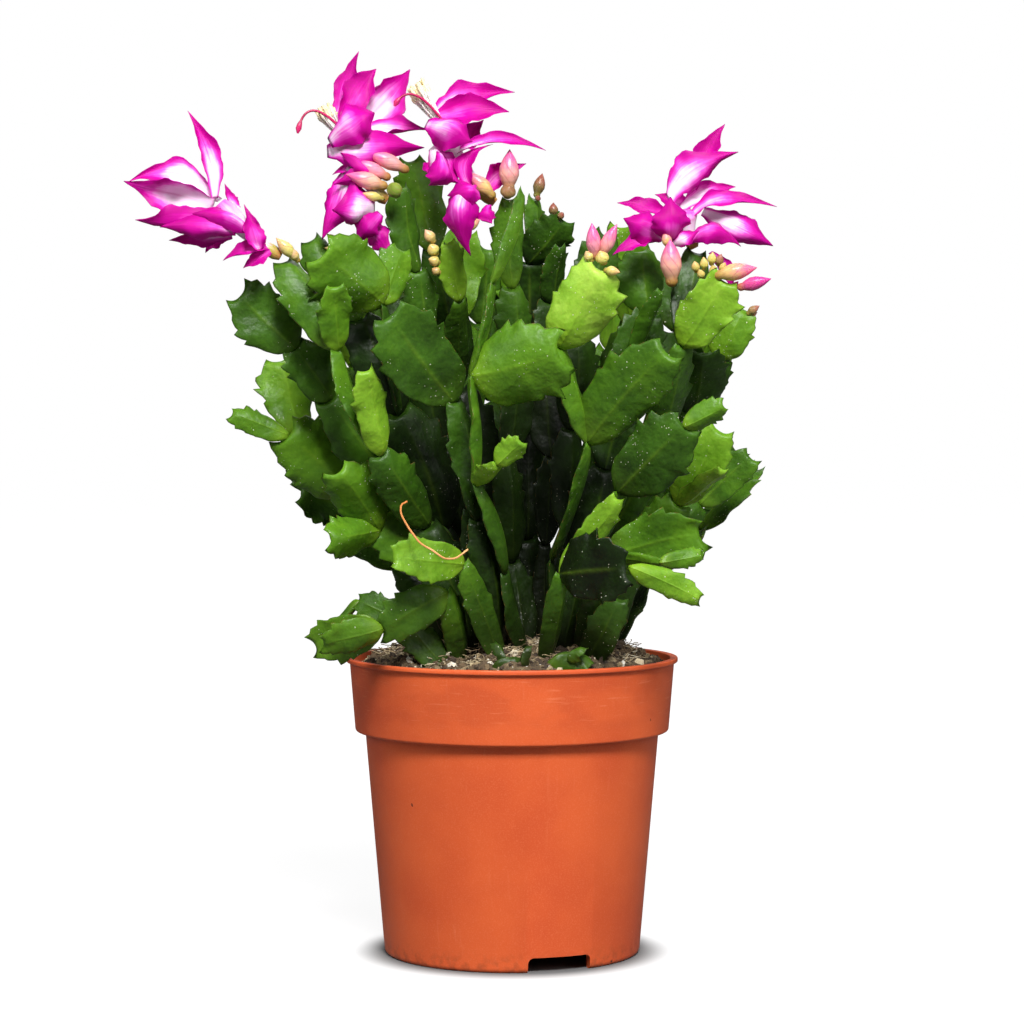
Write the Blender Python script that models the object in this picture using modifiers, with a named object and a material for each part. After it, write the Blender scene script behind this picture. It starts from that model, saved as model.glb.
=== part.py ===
"""A Christmas cactus in a 12 cm nursery pot.

Frame: +Z up, origin on the table under the middle of the pot, -Y towards the viewer.
The tables below are in millimetres; objects are made in metres.
"""

import bpy
import bmesh
import numpy as np
from math import cos, radians, sin
from mathutils import Matrix

MM = 0.001

# ---- driving dimensions, mm ----
POT_HEIGHT = 107.0
LIP_RADIUS = 60.0
LIP_DEPTH = 1.5
LIP_SLOPE = 0.3
BAND_TOP_RADIUS = 58.7
BAND_FOOT_RADIUS = 56.7
BAND_FOOT_Z = 80.5
BAND_ROUND = 0.7
BAND_UNDERCUT = 0.2
STEP_SLOPE = 0.4
WALL_TOP_RADIUS = 53.1
FOOT_RADIUS = 46.2
FOOT_ROUND = 1.4
FOOT_ROUND_Z = 2.0
WALL = 1.5
FLOOR_Z = 5.6
FLOOR_THICKNESS = 1.8
FOOT_DISC_RADIUS = 10.0
FOOT_DISC_SLOPE = 0.8
DRAIN_RADIUS = 4.0
DRAIN_CIRCLE = 28.0
DRAIN_COUNT = 6
DRAIN_DEPTH = 8.0
DRAIN_SIDES = 16
NOTCH_WIDTH = 24.0
NOTCH_DEPTH = 12.0
NOTCH_INSET = 2.0
NOTCH_ROUND = 1.5
NOTCH_HEIGHT = 5.4
NOTCH_ANGLE = -68.4
NOTCH_COUNT = 3
POT_STEPS = 40

SOIL_EDGE_Z = 103.0
SOIL_RISE = 7.0
SOIL_RINGS = (0.0, 0.35, 0.6, 0.8, 0.93)
SOIL_STEP_RISE = 2.0
SOIL_STEP_INSET = 0.6
SOIL_STEPS = 28
GAP = 0.35

PAD_THICKNESS = 2.2
NECK_WIDTH = 4.4
BRANCH_OVERLAP = 1.2
BRANCH_THICKNESS = 1.9
# A pad's width along its length: (share of the length, share of the width), and the width at the last tip.
PAD_ROWS = ((0.15, 0.62), (0.38, 0.95), (0.62, 1.0), (0.85, 0.78))
TIP_SHARE = 0.42

# How crowded pads push each other aside: the clear distance kept between their middle planes, and the places
# on a pad, as shares of its length and width, from which that distance is taken.
ROOT_LIFT = 1.6
PAD_SPACING = 5.2
SETTLE_ROUNDS = 60
SETTLE_STEP = 0.7
SETTLE_SOFTEN = 0.6
UPRIGHT_PUSH = 0.3
MIDDLE_PULL = 0.3
SAMPLE_FIRST, SAMPLE_LAST, SAMPLE_ROWS = 0.08, 0.95, 7
SAMPLE_SIDES = (-0.38, 0.0, 0.38)
SAMPLE_NECK, SAMPLE_WIDEN = 0.35, 2.2

PETAL_THICKNESS = 0.9
PETAL_ARCH = 0.12
PETAL_ROLL = 0.7
PETAL_BACK_DEPTH = 4.5
PETAL_ROWS = ((0.0, 0.3), (0.35, 0.92), (0.68, 0.95), (1.0, 0.18))
INNER_TIER_DROP = 3.0
OUTER_TIER_DROP = 2.0
FLOWER_TUBE_RADII = (1.8, 2.3, 3.0, 4.2)
FLOWER_TUBE_SIDES = 8
ROD_SIDES = 6
ROD_START_SHARE = 0.8
BUD_SIDES = 6
BUD_ROWS = ((0.0, 0.6), (0.3, 1.0), (0.7, 0.9), (1.0, 0.15))

# ---- the plant ----
# Each shoot is a chain of flat pads. Its first stem starts at a place on the soil (x, y); a branch starts at
# a joint of that stem, counted from 1. Each pad is (x, y, z of its tip, width, the way its face looks in
# degrees, 0 towards -Y and 90 towards +X).
SHOOTS = {
    "left_droop": [
        ((-19, -27), [(-25, -40, 133, 11, 50), (-45, -50, 121, 14, 20), (-65, -56, 117, 11, 60)]),
        (2, [(-68, -40, 114, 14, 20)]),
    ],
    "left_arch": [((-26, -33), [(-36, -38, 122, 11, 30), (-54, -30, 129, 9, 25), (-64, -26, 117, 6, 80)])],
    "left_front_low": [((-5, -30), [(-18, -44, 143, 9, 25), (-41, -64, 146, 13, 5)])],
    "left_middle": [
        ((-13, -9), [(-21, -14, 143, 12, 40), (-47, -26, 154, 18, 10), (-61, -44, 176, 16, 0)]),
        (2, [(-63, -46, 152, 13, 35)]),
    ],
    "left_low": [
        ((-22, 3), [(-30, 4, 138, 13, 30), (-58, -6, 167, 15, 15), (-80, -14, 187, 22, 5),
            (-99, -18, 195, 8, 50)])
    ],
    "left_long": [
        (
            (-12, 2),
            [(-22, -4, 135, 12, 45), (-36, -13, 162, 14, 30), (-64, -26, 200, 17, 12),
                (-76, -32, 218, 15, 25), (-95, -36, 236, 18, 8)],
        )
    ],
    "left_flowering": [
        (
            (-13, -15),
            [(-29, -28, 155, 15, 20), (-45, -46, 181, 14, 20), (-61, -46, 217, 10, 70),
                (-78, -44, 248, 15, 40)],
        ),
        (2, [(-51, -58, 210, 12, 30)]),
        (3, [(-62, -54, 239, 11, 30)]),
    ],
    "left_broad": [
        ((-3, 3), [(-25, -8, 153, 13, 30), (-41, -20, 195, 22, 12), (-44, -42, 233, 11, 75),
            (-65, -56, 250, 23, 0)]),
        (2, [(-54, -24, 228, 17, 18), (-71, -20, 256, 13, 20)]),
        (3, [(-39, -36, 252, 13, 25)]),
    ],
    "left_blue": [((-6, -21), [(-12, -34, 158, 12, 40), (-20, -44, 199, 13, 50), (-42, -60, 229, 22, 5)])],
    "tall_left": [
        (
            (-4, 11),
            [(-15, 6, 148, 13, 20), (-26, -2, 181, 14, 15), (-31, -14, 219, 12, 20),
                (-33, -22, 245, 12, 25),
             (-39, -26, 274, 12, 45)],
        )
    ],
    "tall_middle": [
        ((0, 19), [(-9, 18, 155, 13, 10), (-20, 10, 203, 15, 10), (-28, -4, 253, 15, 15),
            (-36, -8, 285, 15, 25)]),
        (2, [(-19, -14, 235, 9, 30), (-23, -24, 255, 9, 20)]),
    ],
    "middle_edge": [
        (
            (4, -22),
            [(-4, -32, 139, 10, 70), (-13, -48, 171, 10, 80), (-14, -56, 208, 9, 85), (-7, -54, 240, 9, 80),
             (2, -46, 272, 9, 75)],
        ),
        (3, [(16, -68, 216, 25, 10)]),
        (2, [(-5, -60, 178, 8, 30), (3, -64, 186, 8, 10)]),
    ],
    "middle_upright": [
        (
            (4, -4),
            [(0, 0, 141, 11, 20), (-2, -10, 179, 11, 25), (1, -16, 210, 12, 30), (0, -24, 239, 12, 20),
             (-1, -28, 270, 10, 10)],
        )
    ],
    "middle_back": [
        (
            (8, 25),
            [(6, 24, 148, 13, 15), (6, 26, 188, 14, 20), (5, 22, 221, 14, 10), (6, 14, 250, 13, 20),
             (19, 6, 264, 12, 25)],
        ),
        (4, [(9, 14, 273, 8, 60)]),
    ],
    "woody_stem": [
        (
            (13, 8),
            [(12, 6, 147, 6, 20), (14, 4, 179, 10, 20), (12, 6, 210, 14, 15), (14, 2, 235, 13, 30),
             (16, -4, 255, 11, 40)],
        )
    ],
    "right_edge": [
        ((11, -13), [(16, -26, 143, 10, 75), (26, -42, 185, 11, 80), (16, -52, 218, 11, 60),
            (30, -60, 245, 19, 8)]),
        (2, [(53, -64, 216, 20, 8)]),
    ],
    "right_grey": [
        ((20, -1), [(18, -8, 153, 10, 50), (21, -14, 189, 12, 20), (23, -18, 221, 14, 15),
            (34, -16, 258, 15, 15)])
    ],
    "right_upper": [
        (
            (20, -10),
            [(23, -14, 142, 12, 35), (33, -22, 175, 14, 20), (41, -28, 205, 15, 12), (48, -23, 230, 15, 10),
             (45, -22, 252, 15, 5)],
        ),
        (3, [(55, -45, 238, 8, 60)]),
    ],
    "right_bright": [
        ((27, 7), [(30, 2, 141, 13, 20), (47, -8, 178, 15, 15), (56, -38, 219, 14, 30),
            (73, -48, 241, 16, 10)]),
        (3, [(62, -28, 251, 13, 20)]),
    ],
    "right_high": [
        (
            (23, 17),
            [(33, 14, 141, 13, 25), (53, 14, 174, 15, 10), (66, 8, 195, 15, 15), (74, -4, 215, 14, 15),
             (83, -8, 232, 14, 5)],
        ),
        (3, [(68, -18, 217, 18, 8)]),
    ],
    "right_middle": [
        ((17, -22), [(25, -28, 143, 11, 30), (37, -42, 168, 12, 40), (59, -58, 191, 20, 5),
            (72, -60, 198, 8, 20)])
    ],
    "right_low": [
        ((31, -3), [(40, -10, 142, 12, 20), (59, -24, 163, 15, 10), (73, -34, 189, 15, 8)]),
        (2, [(73, -44, 176, 8, 30)]),
        (1, [(68, 2, 162, 14, 10), (86, -2, 179, 13, 10)]),
    ],
    "right_lowest": [
        ((27, -19), [(32, -38, 146, 12, 20), (65, -44, 154, 19, 10)]),
        (1, [(51, -54, 144, 5, 60), (65, -50, 146, 6, 40)]),
    ],
    "right_front_blue": [
        ((12, -31), [(17, -50, 140, 9, 40), (40, -68, 143, 21, 8)]),
        (1, [(36, -58, 166, 9, 20)]),
        (2, [(64, -62, 132, 8, 15)]),
    ],
    "right_sucker": [((26, -29), [(37, -38, 130, 11, 10)])],
    "front_stump": [((-4, -12), [(-16, -26, 162, 15, 15)])],
    "back_left_low": [
        ((-23, 14), [(-38, 22, 138, 13, 50), (-62, 34, 160, 17, 50), (-80, 42, 186, 18, 45),
            (-88, 46, 214, 15, 40)]),
        (2, [(-78, 22, 166, 16, 75)]),
    ],
    "back_left_high": [
        ((-14, 19), [(-26, 32, 146, 13, 40), (-42, 44, 182, 17, 40), (-52, 52, 218, 17, 35),
            (-58, 56, 250, 15, 30)]),
        (3, [(-34, 60, 240, 14, 10)]),
        (2, [(-58, 28, 204, 15, 85)]),
    ],
    "back_left_tall": [
        ((-7, 27), [(-10, 36, 150, 13, 15), (-18, 48, 190, 16, 10), (-22, 54, 228, 17, 15),
            (-18, 54, 262, 15, 5)]),
        (2, [(-24, 30, 222, 14, 80)]),
    ],
    "back_middle": [
        ((2, 33), [(8, 42, 148, 13, -10), (12, 56, 184, 16, -5), (8, 62, 220, 17, 0),
            (4, 62, 252, 14, 10)]),
        (2, [(-8, 70, 200, 15, 10), (-12, 66, 229, 15, 5), (-9, 62, 257, 13, 0)]),
    ],
    "back_right_tall": [
        ((13, 30), [(22, 38, 146, 13, -30), (34, 48, 182, 17, -30), (38, 54, 218, 17, -20),
            (40, 54, 252, 15, -25)]),
        (2, [(42, 30, 212, 14, -80)]),
    ],
    "back_right_high": [
        ((22, 26), [(40, 32, 140, 13, -45), (58, 40, 168, 17, -50), (70, 44, 200, 18, -45),
            (76, 42, 232, 15, -40)]),
        (2, [(84, 46, 182, 16, -35)]),
        (3, [(64, 22, 228, 15, -85)]),
        (3, [(62, 54, 226, 16, -20), (66, 57, 252, 14, -10)]),
    ],
    "back_right_low": [((34, 12), [(50, 18, 134, 12, -60), (70, 24, 152, 17, -70),
        (88, 28, 176, 17, -65)])],
    "back_left_droop": [((-14, 30), [(-20, 50, 134, 14, 15), (-30, 72, 144, 17, 20),
        (-40, 84, 128, 14, 25)])],
    "back_right_droop": [((10, 40), [(20, 56, 132, 14, -15), (28, 74, 146, 17, -15),
        (34, 86, 168, 15, -10)])],
    "inner_left": [
        ((-16, 12), [(-30, 18, 146, 12, 60), (-50, 12, 178, 14, 60), (-58, 6, 212, 15, 50),
            (-54, 8, 246, 14, 45)])
    ],
    "inner_right": [
        ((16, 17), [(26, 22, 152, 12, -40), (34, 20, 190, 14, -45), (44, 12, 226, 15, -35),
            (40, 6, 262, 13, -30)])
    ],
}

# Each flower opens from a tube of four points; its petals leave the tube's middle (0) or its mouth (1). All
# places are counted from the flower's foot, which is at "offset" from the shoot's joint that carries it.
# Each petal is (0 or 1, x, y, z of its tip, width).
FLOWERS = {
    "left_flower": {
        "shoot": "left_flowering", "joint": 4, "offset": (-2, 0, 1.5),
        "tube": [(0, 0, 0), (-5, 0, 3), (-12, -1, 9), (-19, -2, 18)],
        "petals": [
            (1, -32, 5, 51, 7), (1, -53, -6, 26, 13), (1, -46, 9, 34, 10), (1, -38, -12, 6, 9),
                (1, -50, 2, 12, 9),
            (1, -30, 15, 30, 9), (0, -26, -9, 3, 7), (0, -11, 3, 20, 6), (0, -20, -2, -1, 5),
                (0, -24, 12, 12, 7),
        ],
    },
    "upper_flower": {
        "shoot": "tall_left", "joint": 5, "offset": (-5, 3, -4),
        "tube": [(0, 0, 0), (-4, 0, 5), (-9, 0, 12), (-14, 0, 19)],
        "petals": [
            (1, -9, 8, 52, 10), (1, -3, 12, 47, 9), (1, 7, 8, 46, 9), (1, 13, 3, 27, 9), (1, 12, -6, 18, 9),
            (1, -22, -8, 24, 12), (0, -26, 4, -7, 10), (0, -23, -5, -13, 10), (0, -11, -8, -14, 9),
            (0, 0, -4, -19, 8), (0, -19, -11, 1, 9),
        ],
    },
    "middle_flower": {
        "shoot": "middle_upright", "joint": 5, "offset": (-5, 0, -1),
        "tube": [(0, 0, 0), (-6, 0, 5), (-12, 0, 14), (-17, 0, 25)],
        "petals": [
            (1, 10, 4, 41, 9), (1, 8, -5, 35, 9), (1, 21, 3, 20, 8), (1, 13, -6, 14, 8),
                (1, -5, -12, 22, 13),
            (1, -14, 10, 42, 9), (0, -21, -7, 9, 8), (0, -8, -6, -14, 8), (0, -2, -11, 5, 8),
                (0, -24, 8, 14, 8),
            (0, -5, 12, 4, 8),
        ],
    },
    "right_flower": {
        "shoot": "right_bright", "joint": 5, "offset": (0, 0, 2),
        "tube": [(0, 0, 0), (-2, 0, 5), (-4, 0, 10), (-4, -2, 17)],
        "petals": [
            (1, 12, 4, 44, 10), (1, 16, 9, 34, 9), (1, 16, -1, 24, 8), (1, 30, 4, 16, 9), (1, 29, -5, 2, 9),
            (1, -26, 5, 16, 9), (1, -23, -6, 11, 9), (0, -26, -8, 0, 10), (1, -6, -13, 4, 13),
                (1, 1, -7, 34, 12),
            (0, 14, -7, -14, 6), (0, -9, 13, 10, 9), (0, 12, 13, 7, 8),
        ],
    },
}
# Stamens and styles come out of the tube's mouth: (flower, first, middle and last point, radius).
STAMENS = {
    "upper_stamens": ("upper_flower", (-15.5, 4.5, 23.5), (-18.5, 4.5, 27.5), (-22, 4.5, 32), 2.0),
    "middle_stamens": ("middle_flower", (-20, -2, 28), (-23, -2, 32), (-26, -2, 38), 2.8),
}
STYLES = {
    "upper_style": ("upper_flower", (-24, -7, 26), (-28, -8, 27), (-32, -9, 22), 0.6),
    "middle_style": ("middle_flower", (-22, -6, 33), (-28, -7, 36), (-34, -8, 33), 0.6),
}

# Buds sit in clusters on the pads' tips: the shoot, its joint, where the cluster starts from that joint, and
# each bud's tip from there with the bud's radius.
BUDS = {
    "left_flower_buds": ("left_flowering", 4, (3, 0, 1.5), [(-2, -2, 8, 2.4), (3, 2, 5, 1.8)]),
    "left_small_buds": ("left_broad", 6, (0, 0, 2.4), [(2, -2, 5, 1.6), (-2, -1, 6, 1.5), (4, 1, 2, 1.5)]),
    "tall_left_buds": (
        "tall_left", 5, (0, -3, 2),
        [(-12, -4, 9, 2.6), (-14, -7, 3, 2.8), (-8, -10, -2, 2.6), (2, -3, 7, 2.0), (-2, -8, -6, 2.2)],
    ),
    "stacked_buds": ("tall_middle", 6, (-1, -1, 1.5), [(-3, -2, 5, 1.9), (1, -3, 3, 1.8),
        (-4, -3, -1, 2.0)]),
    "middle_buds": ("middle_upright", 5, (1, 0, 1.5), [(0, -1, 15, 3.0), (-7, -4, 7, 2.2), (3, 1, 4, 2.0)]),
    "middle_small_bud": ("middle_back", 6, (0, 0, 1.5), [(3, 0, 6, 2.0), (-1, 0, 3, 1.5)]),
    "back_buds": ("middle_back", 5, (0, 0, 1.5), [(6, -1, 7, 2.0), (9, -1, 4, 2.0), (-2, -1, 5, 1.8)]),
    "right_edge_buds": (
        "right_edge", 4, (-3, -1, 2.4),
        [(-1, -1, 15, 2.8), (6, -2, 14, 2.6), (7, -3, 3, 1.9), (-7, -2, 6, 1.8), (2, -3, 4, 2.0)],
    ),
    "big_right_bud": ("right_upper", 6, (0, -1, 1), [(0, -2, 16, 3.8), (4, 0, 5, 1.8)]),
    "right_tip_buds": ("right_bright", 4, (1, -1, 1), [(13, -2, 4, 2.8), (18, -4, -1, 2.5),
        (1, -1, 6, 1.8)]),
    "far_right_buds": ("right_high", 5, (0, 0, 1.5), [(3, -1, 3, 1.6), (4, 1, 1, 1.6)]),
    "back_top_buds": ("back_left_tall", 4, (0, 0, 1.5), [(1, 2, 7, 2.0), (5, 3, 5, 1.9), (-4, 2, 4, 1.7)]),
}


def clear_scene():
    for obj in list(bpy.data.objects):
        bpy.data.objects.remove(obj, do_unlink=True)


def new_collection(name):
    collection = bpy.data.collections.new(name)
    bpy.context.scene.collection.children.link(collection)
    return collection


def material(name, colour, roughness):
    made = bpy.data.materials.new(name)
    made.use_nodes = True
    shader = made.node_tree.nodes["Principled BSDF"]
    shader.inputs["Base Color"].default_value = (*colour, 1.0)
    shader.inputs["Roughness"].default_value = roughness
    return made


def mesh_object(name, points, faces, collection, finish):
    """An object from points in millimetres."""
    mesh = bpy.data.meshes.new(name)
    mesh.from_pydata([tuple(float(c) * MM for c in p) for p in points], [], faces)
    mesh.update()
    obj = bpy.data.objects.new(name, mesh)
    collection.objects.link(obj)
    obj.data.materials.append(finish)
    return obj


def hide_helper(obj):
    obj.hide_render = True
    obj.display_type = "WIRE"


def add_boolean(obj, name, operation, other):
    boolean = obj.modifiers.new(name, "BOOLEAN")
    boolean.operation = operation
    boolean.solver = "EXACT"
    boolean.object = other


# ---- pot ----


def wall_radius(z):
    """Outer radius of the tapered wall under the band."""
    return FOOT_RADIUS + (WALL_TOP_RADIUS - FOOT_RADIUS) * z / BAND_FOOT_Z


def inner_radius(z):
    if z < BAND_FOOT_Z + WALL:
        return wall_radius(z) - WALL
    share = (z - BAND_FOOT_Z) / (POT_HEIGHT - BAND_FOOT_Z)
    return BAND_FOOT_RADIUS + (BAND_TOP_RADIUS - BAND_FOOT_RADIUS) * share - WALL


def make_pot(parts, cutters):
    step_z = BAND_FOOT_Z + WALL
    floor_top = FLOOR_Z + FLOOR_THICKNESS
    ring_inner = FOOT_RADIUS - FOOT_ROUND - WALL
    profile = [
        (LIP_RADIUS, POT_HEIGHT),
        (LIP_RADIUS, POT_HEIGHT - LIP_DEPTH),
        (BAND_TOP_RADIUS, POT_HEIGHT - LIP_DEPTH - LIP_SLOPE),
        (BAND_FOOT_RADIUS, BAND_FOOT_Z + BAND_ROUND),
        (BAND_FOOT_RADIUS - BAND_ROUND, BAND_FOOT_Z),
        (WALL_TOP_RADIUS, BAND_FOOT_Z - BAND_UNDERCUT),
        (wall_radius(FOOT_ROUND_Z), FOOT_ROUND_Z),
        (FOOT_RADIUS - FOOT_ROUND, 0.0),
        (ring_inner, 0.0),
        (ring_inner, FLOOR_Z),
        (FOOT_DISC_RADIUS + FOOT_DISC_SLOPE, FLOOR_Z),
        (FOOT_DISC_RADIUS, 0.0),
        (0.0, 0.0),
        (0.0, floor_top),
        (inner_radius(floor_top), floor_top),
        (inner_radius(BAND_FOOT_Z), BAND_FOOT_Z),
        (inner_radius(step_z), step_z + STEP_SLOPE),
        (inner_radius(POT_HEIGHT), POT_HEIGHT),
    ]
    finish = material("terracotta_plastic", (0.68, 0.10, 0.03), 0.42)
    # The profile's two points on the axis stay open between them, so the turned floor is solid.
    pot = turned_ring("pot", profile, POT_STEPS, parts, finish)
    for k in range(NOTCH_COUNT):
        angle = radians(NOTCH_ANGLE + 360.0 * k / NOTCH_COUNT)
        add_boolean(pot, f"notch_{k}", "DIFFERENCE", notch_cutter(k, angle, cutters))
    for k in range(DRAIN_COUNT):
        angle = radians(360.0 * (k + 0.5) / DRAIN_COUNT)
        place = (DRAIN_CIRCLE * cos(angle), DRAIN_CIRCLE * sin(angle), floor_top)
        add_boolean(pot, f"drain_{k}", "DIFFERENCE", drain_cutter(k, place, cutters))
    return pot


def turned_ring(name, profile, steps, collection, finish):
    """Turns a profile that touches the axis at two points and is open between them."""
    count = len(profile)
    on_axis = [i for i, (radius, _) in enumerate(profile) if radius == 0.0]
    edges = [(i,
        (i + 1) % count) for i in range(count) if not (i in on_axis and (i + 1) % count in on_axis)]
    mesh = bpy.data.meshes.new(name)
    mesh.from_pydata([(radius * MM, 0.0, z * MM) for radius, z in profile], edges, [])
    obj = bpy.data.objects.new(name, mesh)
    collection.objects.link(obj)
    obj.data.materials.append(finish)
    screw = obj.modifiers.new("turn", "SCREW")
    screw.steps = screw.render_steps = steps
    screw.use_merge_vertices = True
    screw.merge_threshold = 0.00001
    screw.use_smooth_shade = True
    return obj


def notch_cutter(k, angle, cutters):
    bpy.ops.mesh.primitive_cube_add(size=1.0)
    cutter = bpy.context.object
    cutter.name = f"notch_cutter_{k}"
    middle = FOOT_RADIUS - NOTCH_INSET
    size = (NOTCH_DEPTH * MM, NOTCH_WIDTH * MM, 2.0 * NOTCH_HEIGHT * MM)
    cutter.data.transform(Matrix.Diagonal((*size, 1.0)))
    bevel = cutter.modifiers.new("corner", "BEVEL")
    bevel.width = NOTCH_ROUND * MM
    bevel.segments = 2
    cutter.location = (middle * cos(angle) * MM, middle * sin(angle) * MM, 0.0)
    cutter.rotation_euler = (0.0, 0.0, angle)
    move_to(cutter, cutters)
    hide_helper(cutter)
    return cutter


def drain_cutter(k, place, cutters):
    radius, depth = DRAIN_RADIUS * MM, DRAIN_DEPTH * MM
    bpy.ops.mesh.primitive_cylinder_add(vertices=DRAIN_SIDES, radius=radius, depth=depth)
    cutter = bpy.context.object
    cutter.name = f"drain_cutter_{k}"
    cutter.location = tuple(c * MM for c in place)
    move_to(cutter, cutters)
    hide_helper(cutter)
    return cutter


def move_to(obj, collection):
    for other in list(obj.users_collection):
        other.objects.unlink(obj)
    collection.objects.link(obj)


# ---- soil ----


def soil_height(x, y):
    share = min(1.0, (x * x + y * y) / inner_radius(SOIL_EDGE_Z) ** 2)
    return SOIL_EDGE_Z + SOIL_RISE * (1.0 - share)


def make_soil(parts):
    bottom = FLOOR_Z + FLOOR_THICKNESS + GAP
    edge = inner_radius(SOIL_EDGE_Z) - GAP
    step_z = BAND_FOOT_Z + WALL + SOIL_STEP_RISE
    profile = [
        (edge, SOIL_EDGE_Z),
        (inner_radius(step_z) - GAP - SOIL_STEP_INSET, step_z),
        (inner_radius(BAND_FOOT_Z) - GAP, BAND_FOOT_Z),
        (inner_radius(bottom) - GAP, bottom),
        (0.0, bottom),
        *((edge * share, soil_height(edge * share, 0.0)) for share in SOIL_RINGS),
    ]
    finish = material("potting_soil", (0.16, 0.11, 0.07), 0.95)
    return turned_ring("soil", profile, SOIL_STEPS, parts, finish)


# ---- the shoots' joints ----


def unit(v):
    return v / max(np.linalg.norm(v), 1e-9)


class Pad:
    """One flat segment between two joints of the plant."""

    def __init__(self, shoot, chain, start, end, width, face):
        self.shoot, self.chain, self.start, self.end = shoot, chain, start, end
        self.width, self.face = width, radians(face)

    def frame(self, joints):
        """Along the pad, across it and out of its face."""
        along = unit(joints[self.end] - joints[self.start])
        out = np.array([sin(self.face), -cos(self.face), 0.0])
        out = unit(out - along * out.dot(along))
        return along, np.cross(along, out), out


def lay_out():
    """All joints and pads, before they push each other aside, and the roots, which stay where they are."""
    joints, pads, roots, places = [], [], [], {}
    for shoot, chains in SHOOTS.items():
        places[shoot] = []
        for chain, (start, tips) in enumerate(chains):
            if isinstance(start, tuple):
                joints.append((*start, soil_height(*start) + ROOT_LIFT))
                roots.append(len(joints) - 1)
                last = len(joints) - 1
            else:
                last = places[shoot][start - 1]
            for x, y, z, width, face in tips:
                joints.append((x, y, z))
                pads.append(Pad(shoot, chain, last, len(joints) - 1, width, face))
                last = len(joints) - 1
                places[shoot].append(last)
    return np.array(joints, float), pads, roots, places


def samples(pads, joints):
    """Points spread over each pad, with how far along the pad each one is."""
    shares = np.repeat(np.linspace(SAMPLE_FIRST, SAMPLE_LAST, SAMPLE_ROWS), len(SAMPLE_SIDES))
    points = np.empty((len(pads), len(shares), 3))
    outs = np.empty((len(pads), 3))
    for i, pad in enumerate(pads):
        _, across, out = pad.frame(joints)
        start, end = joints[pad.start], joints[pad.end]
        outs[i] = out
        for j, share in enumerate(shares):
            half = pad.width * min(1.0, SAMPLE_NECK + SAMPLE_WIDEN * share)
            offset = SAMPLE_SIDES[j % len(SAMPLE_SIDES)] * half
            points[i, j] = start + (end - start) * share + across * offset
    return points, shares, outs


def settle(joints, pads, roots):
    """Crowded pads push each other aside, mostly along their faces' normals, until they clear."""
    joints = joints.copy()
    fixed = np.zeros(len(joints), bool)
    fixed[roots] = True
    first, second = np.triu_indices(len(pads), 1)
    ends = [{pad.start, pad.end} for pad in pads]
    apart = np.array([not ends[a] & ends[b] for a, b in zip(first, second)])
    first, second = first[apart], second[apart]
    for _ in range(SETTLE_ROUNDS):
        points, shares, outs = samples(pads, joints)
        centres = points.mean(axis=1)
        reach = np.linalg.norm(points - centres[:, None], axis=2).max(axis=1)
        between = np.linalg.norm(centres[first] - centres[second], axis=1)
        near = between < reach[first] + reach[second] + PAD_SPACING
        moves = np.zeros_like(joints)
        weights = np.zeros(len(joints))
        for a, b in zip(first[near], second[near]):
            gaps = np.linalg.norm(points[a][:, None] - points[b][None], axis=2)
            i, j = np.unravel_index(gaps.argmin(), gaps.shape)
            if gaps[i, j] >= PAD_SPACING:
                continue
            sense = 1.0 if outs[a].dot(outs[b]) >= 0.0 else -1.0
            way = unit(outs[a] + sense * outs[b])
            way = unit(way * np.array([1.0, 1.0, UPRIGHT_PUSH]))
            side = (points[a, i] - points[b, j]).dot(way) + MIDDLE_PULL * (centres[a] - centres[b]).dot(way)
            strength = SETTLE_STEP * (1.0 - SETTLE_SOFTEN * gaps[i, j] / PAD_SPACING)
            push = way * (strength if side >= 0.0 else -strength)
            for index, share, turn in ((a, shares[i], 1.0), (b, shares[j], -1.0)):
                pad = pads[index]
                moves[pad.end] += turn * push * share
                moves[pad.start] += turn * push * (1.0 - share)
                weights[pad.end] += share
                weights[pad.start] += 1.0 - share
        moves[fixed] = 0.0
        joints += moves / np.maximum(1.0, weights)[:, None]
    return joints


# ---- shoots ----


def ribbon_rows(chain, joints, lead):
    """The rows of one chain of pads, from its first joint to its last tip: (middle, across, half width)."""
    frames = []
    for pad in chain:
        along, across, _ = pad.frame(joints)
        if frames and across.dot(frames[-1][1]) < 0.0:
            across = -across
        frames.append((along, across))
    start = joints[chain[0].start] + frames[0][0] * lead
    rows = [(start, frames[0][1], NECK_WIDTH / 2)]
    for i, pad in enumerate(chain):
        begin, end = joints[pad.start], joints[pad.end]
        if i == 0:
            begin = start
        for share, part in PAD_ROWS:
            rows.append((begin + (end - begin) * share, frames[i][1], part * pad.width / 2))
        if i + 1 < len(chain):
            rows.append((end, unit(frames[i][1] + frames[i + 1][1]), NECK_WIDTH / 2))
        else:
            rows.append((end, frames[i][1], TIP_SHARE * pad.width / 2))
    return rows


def ribbon(name, rows, thickness, collection, finish):
    """A strip through the rows with a wall on both sides of it."""
    points, faces = [], []
    for middle, across, half in rows:
        points += [middle - across * half, middle + across * half]
    for i in range(len(rows) - 1):
        faces.append((2 * i, 2 * i + 1, 2 * i + 3, 2 * i + 2))
    obj = mesh_object(name, points, faces, collection, finish)
    wall = obj.modifiers.new("thickness", "SOLIDIFY")
    wall.thickness = thickness * MM
    wall.offset = 0.0
    return obj


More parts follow.
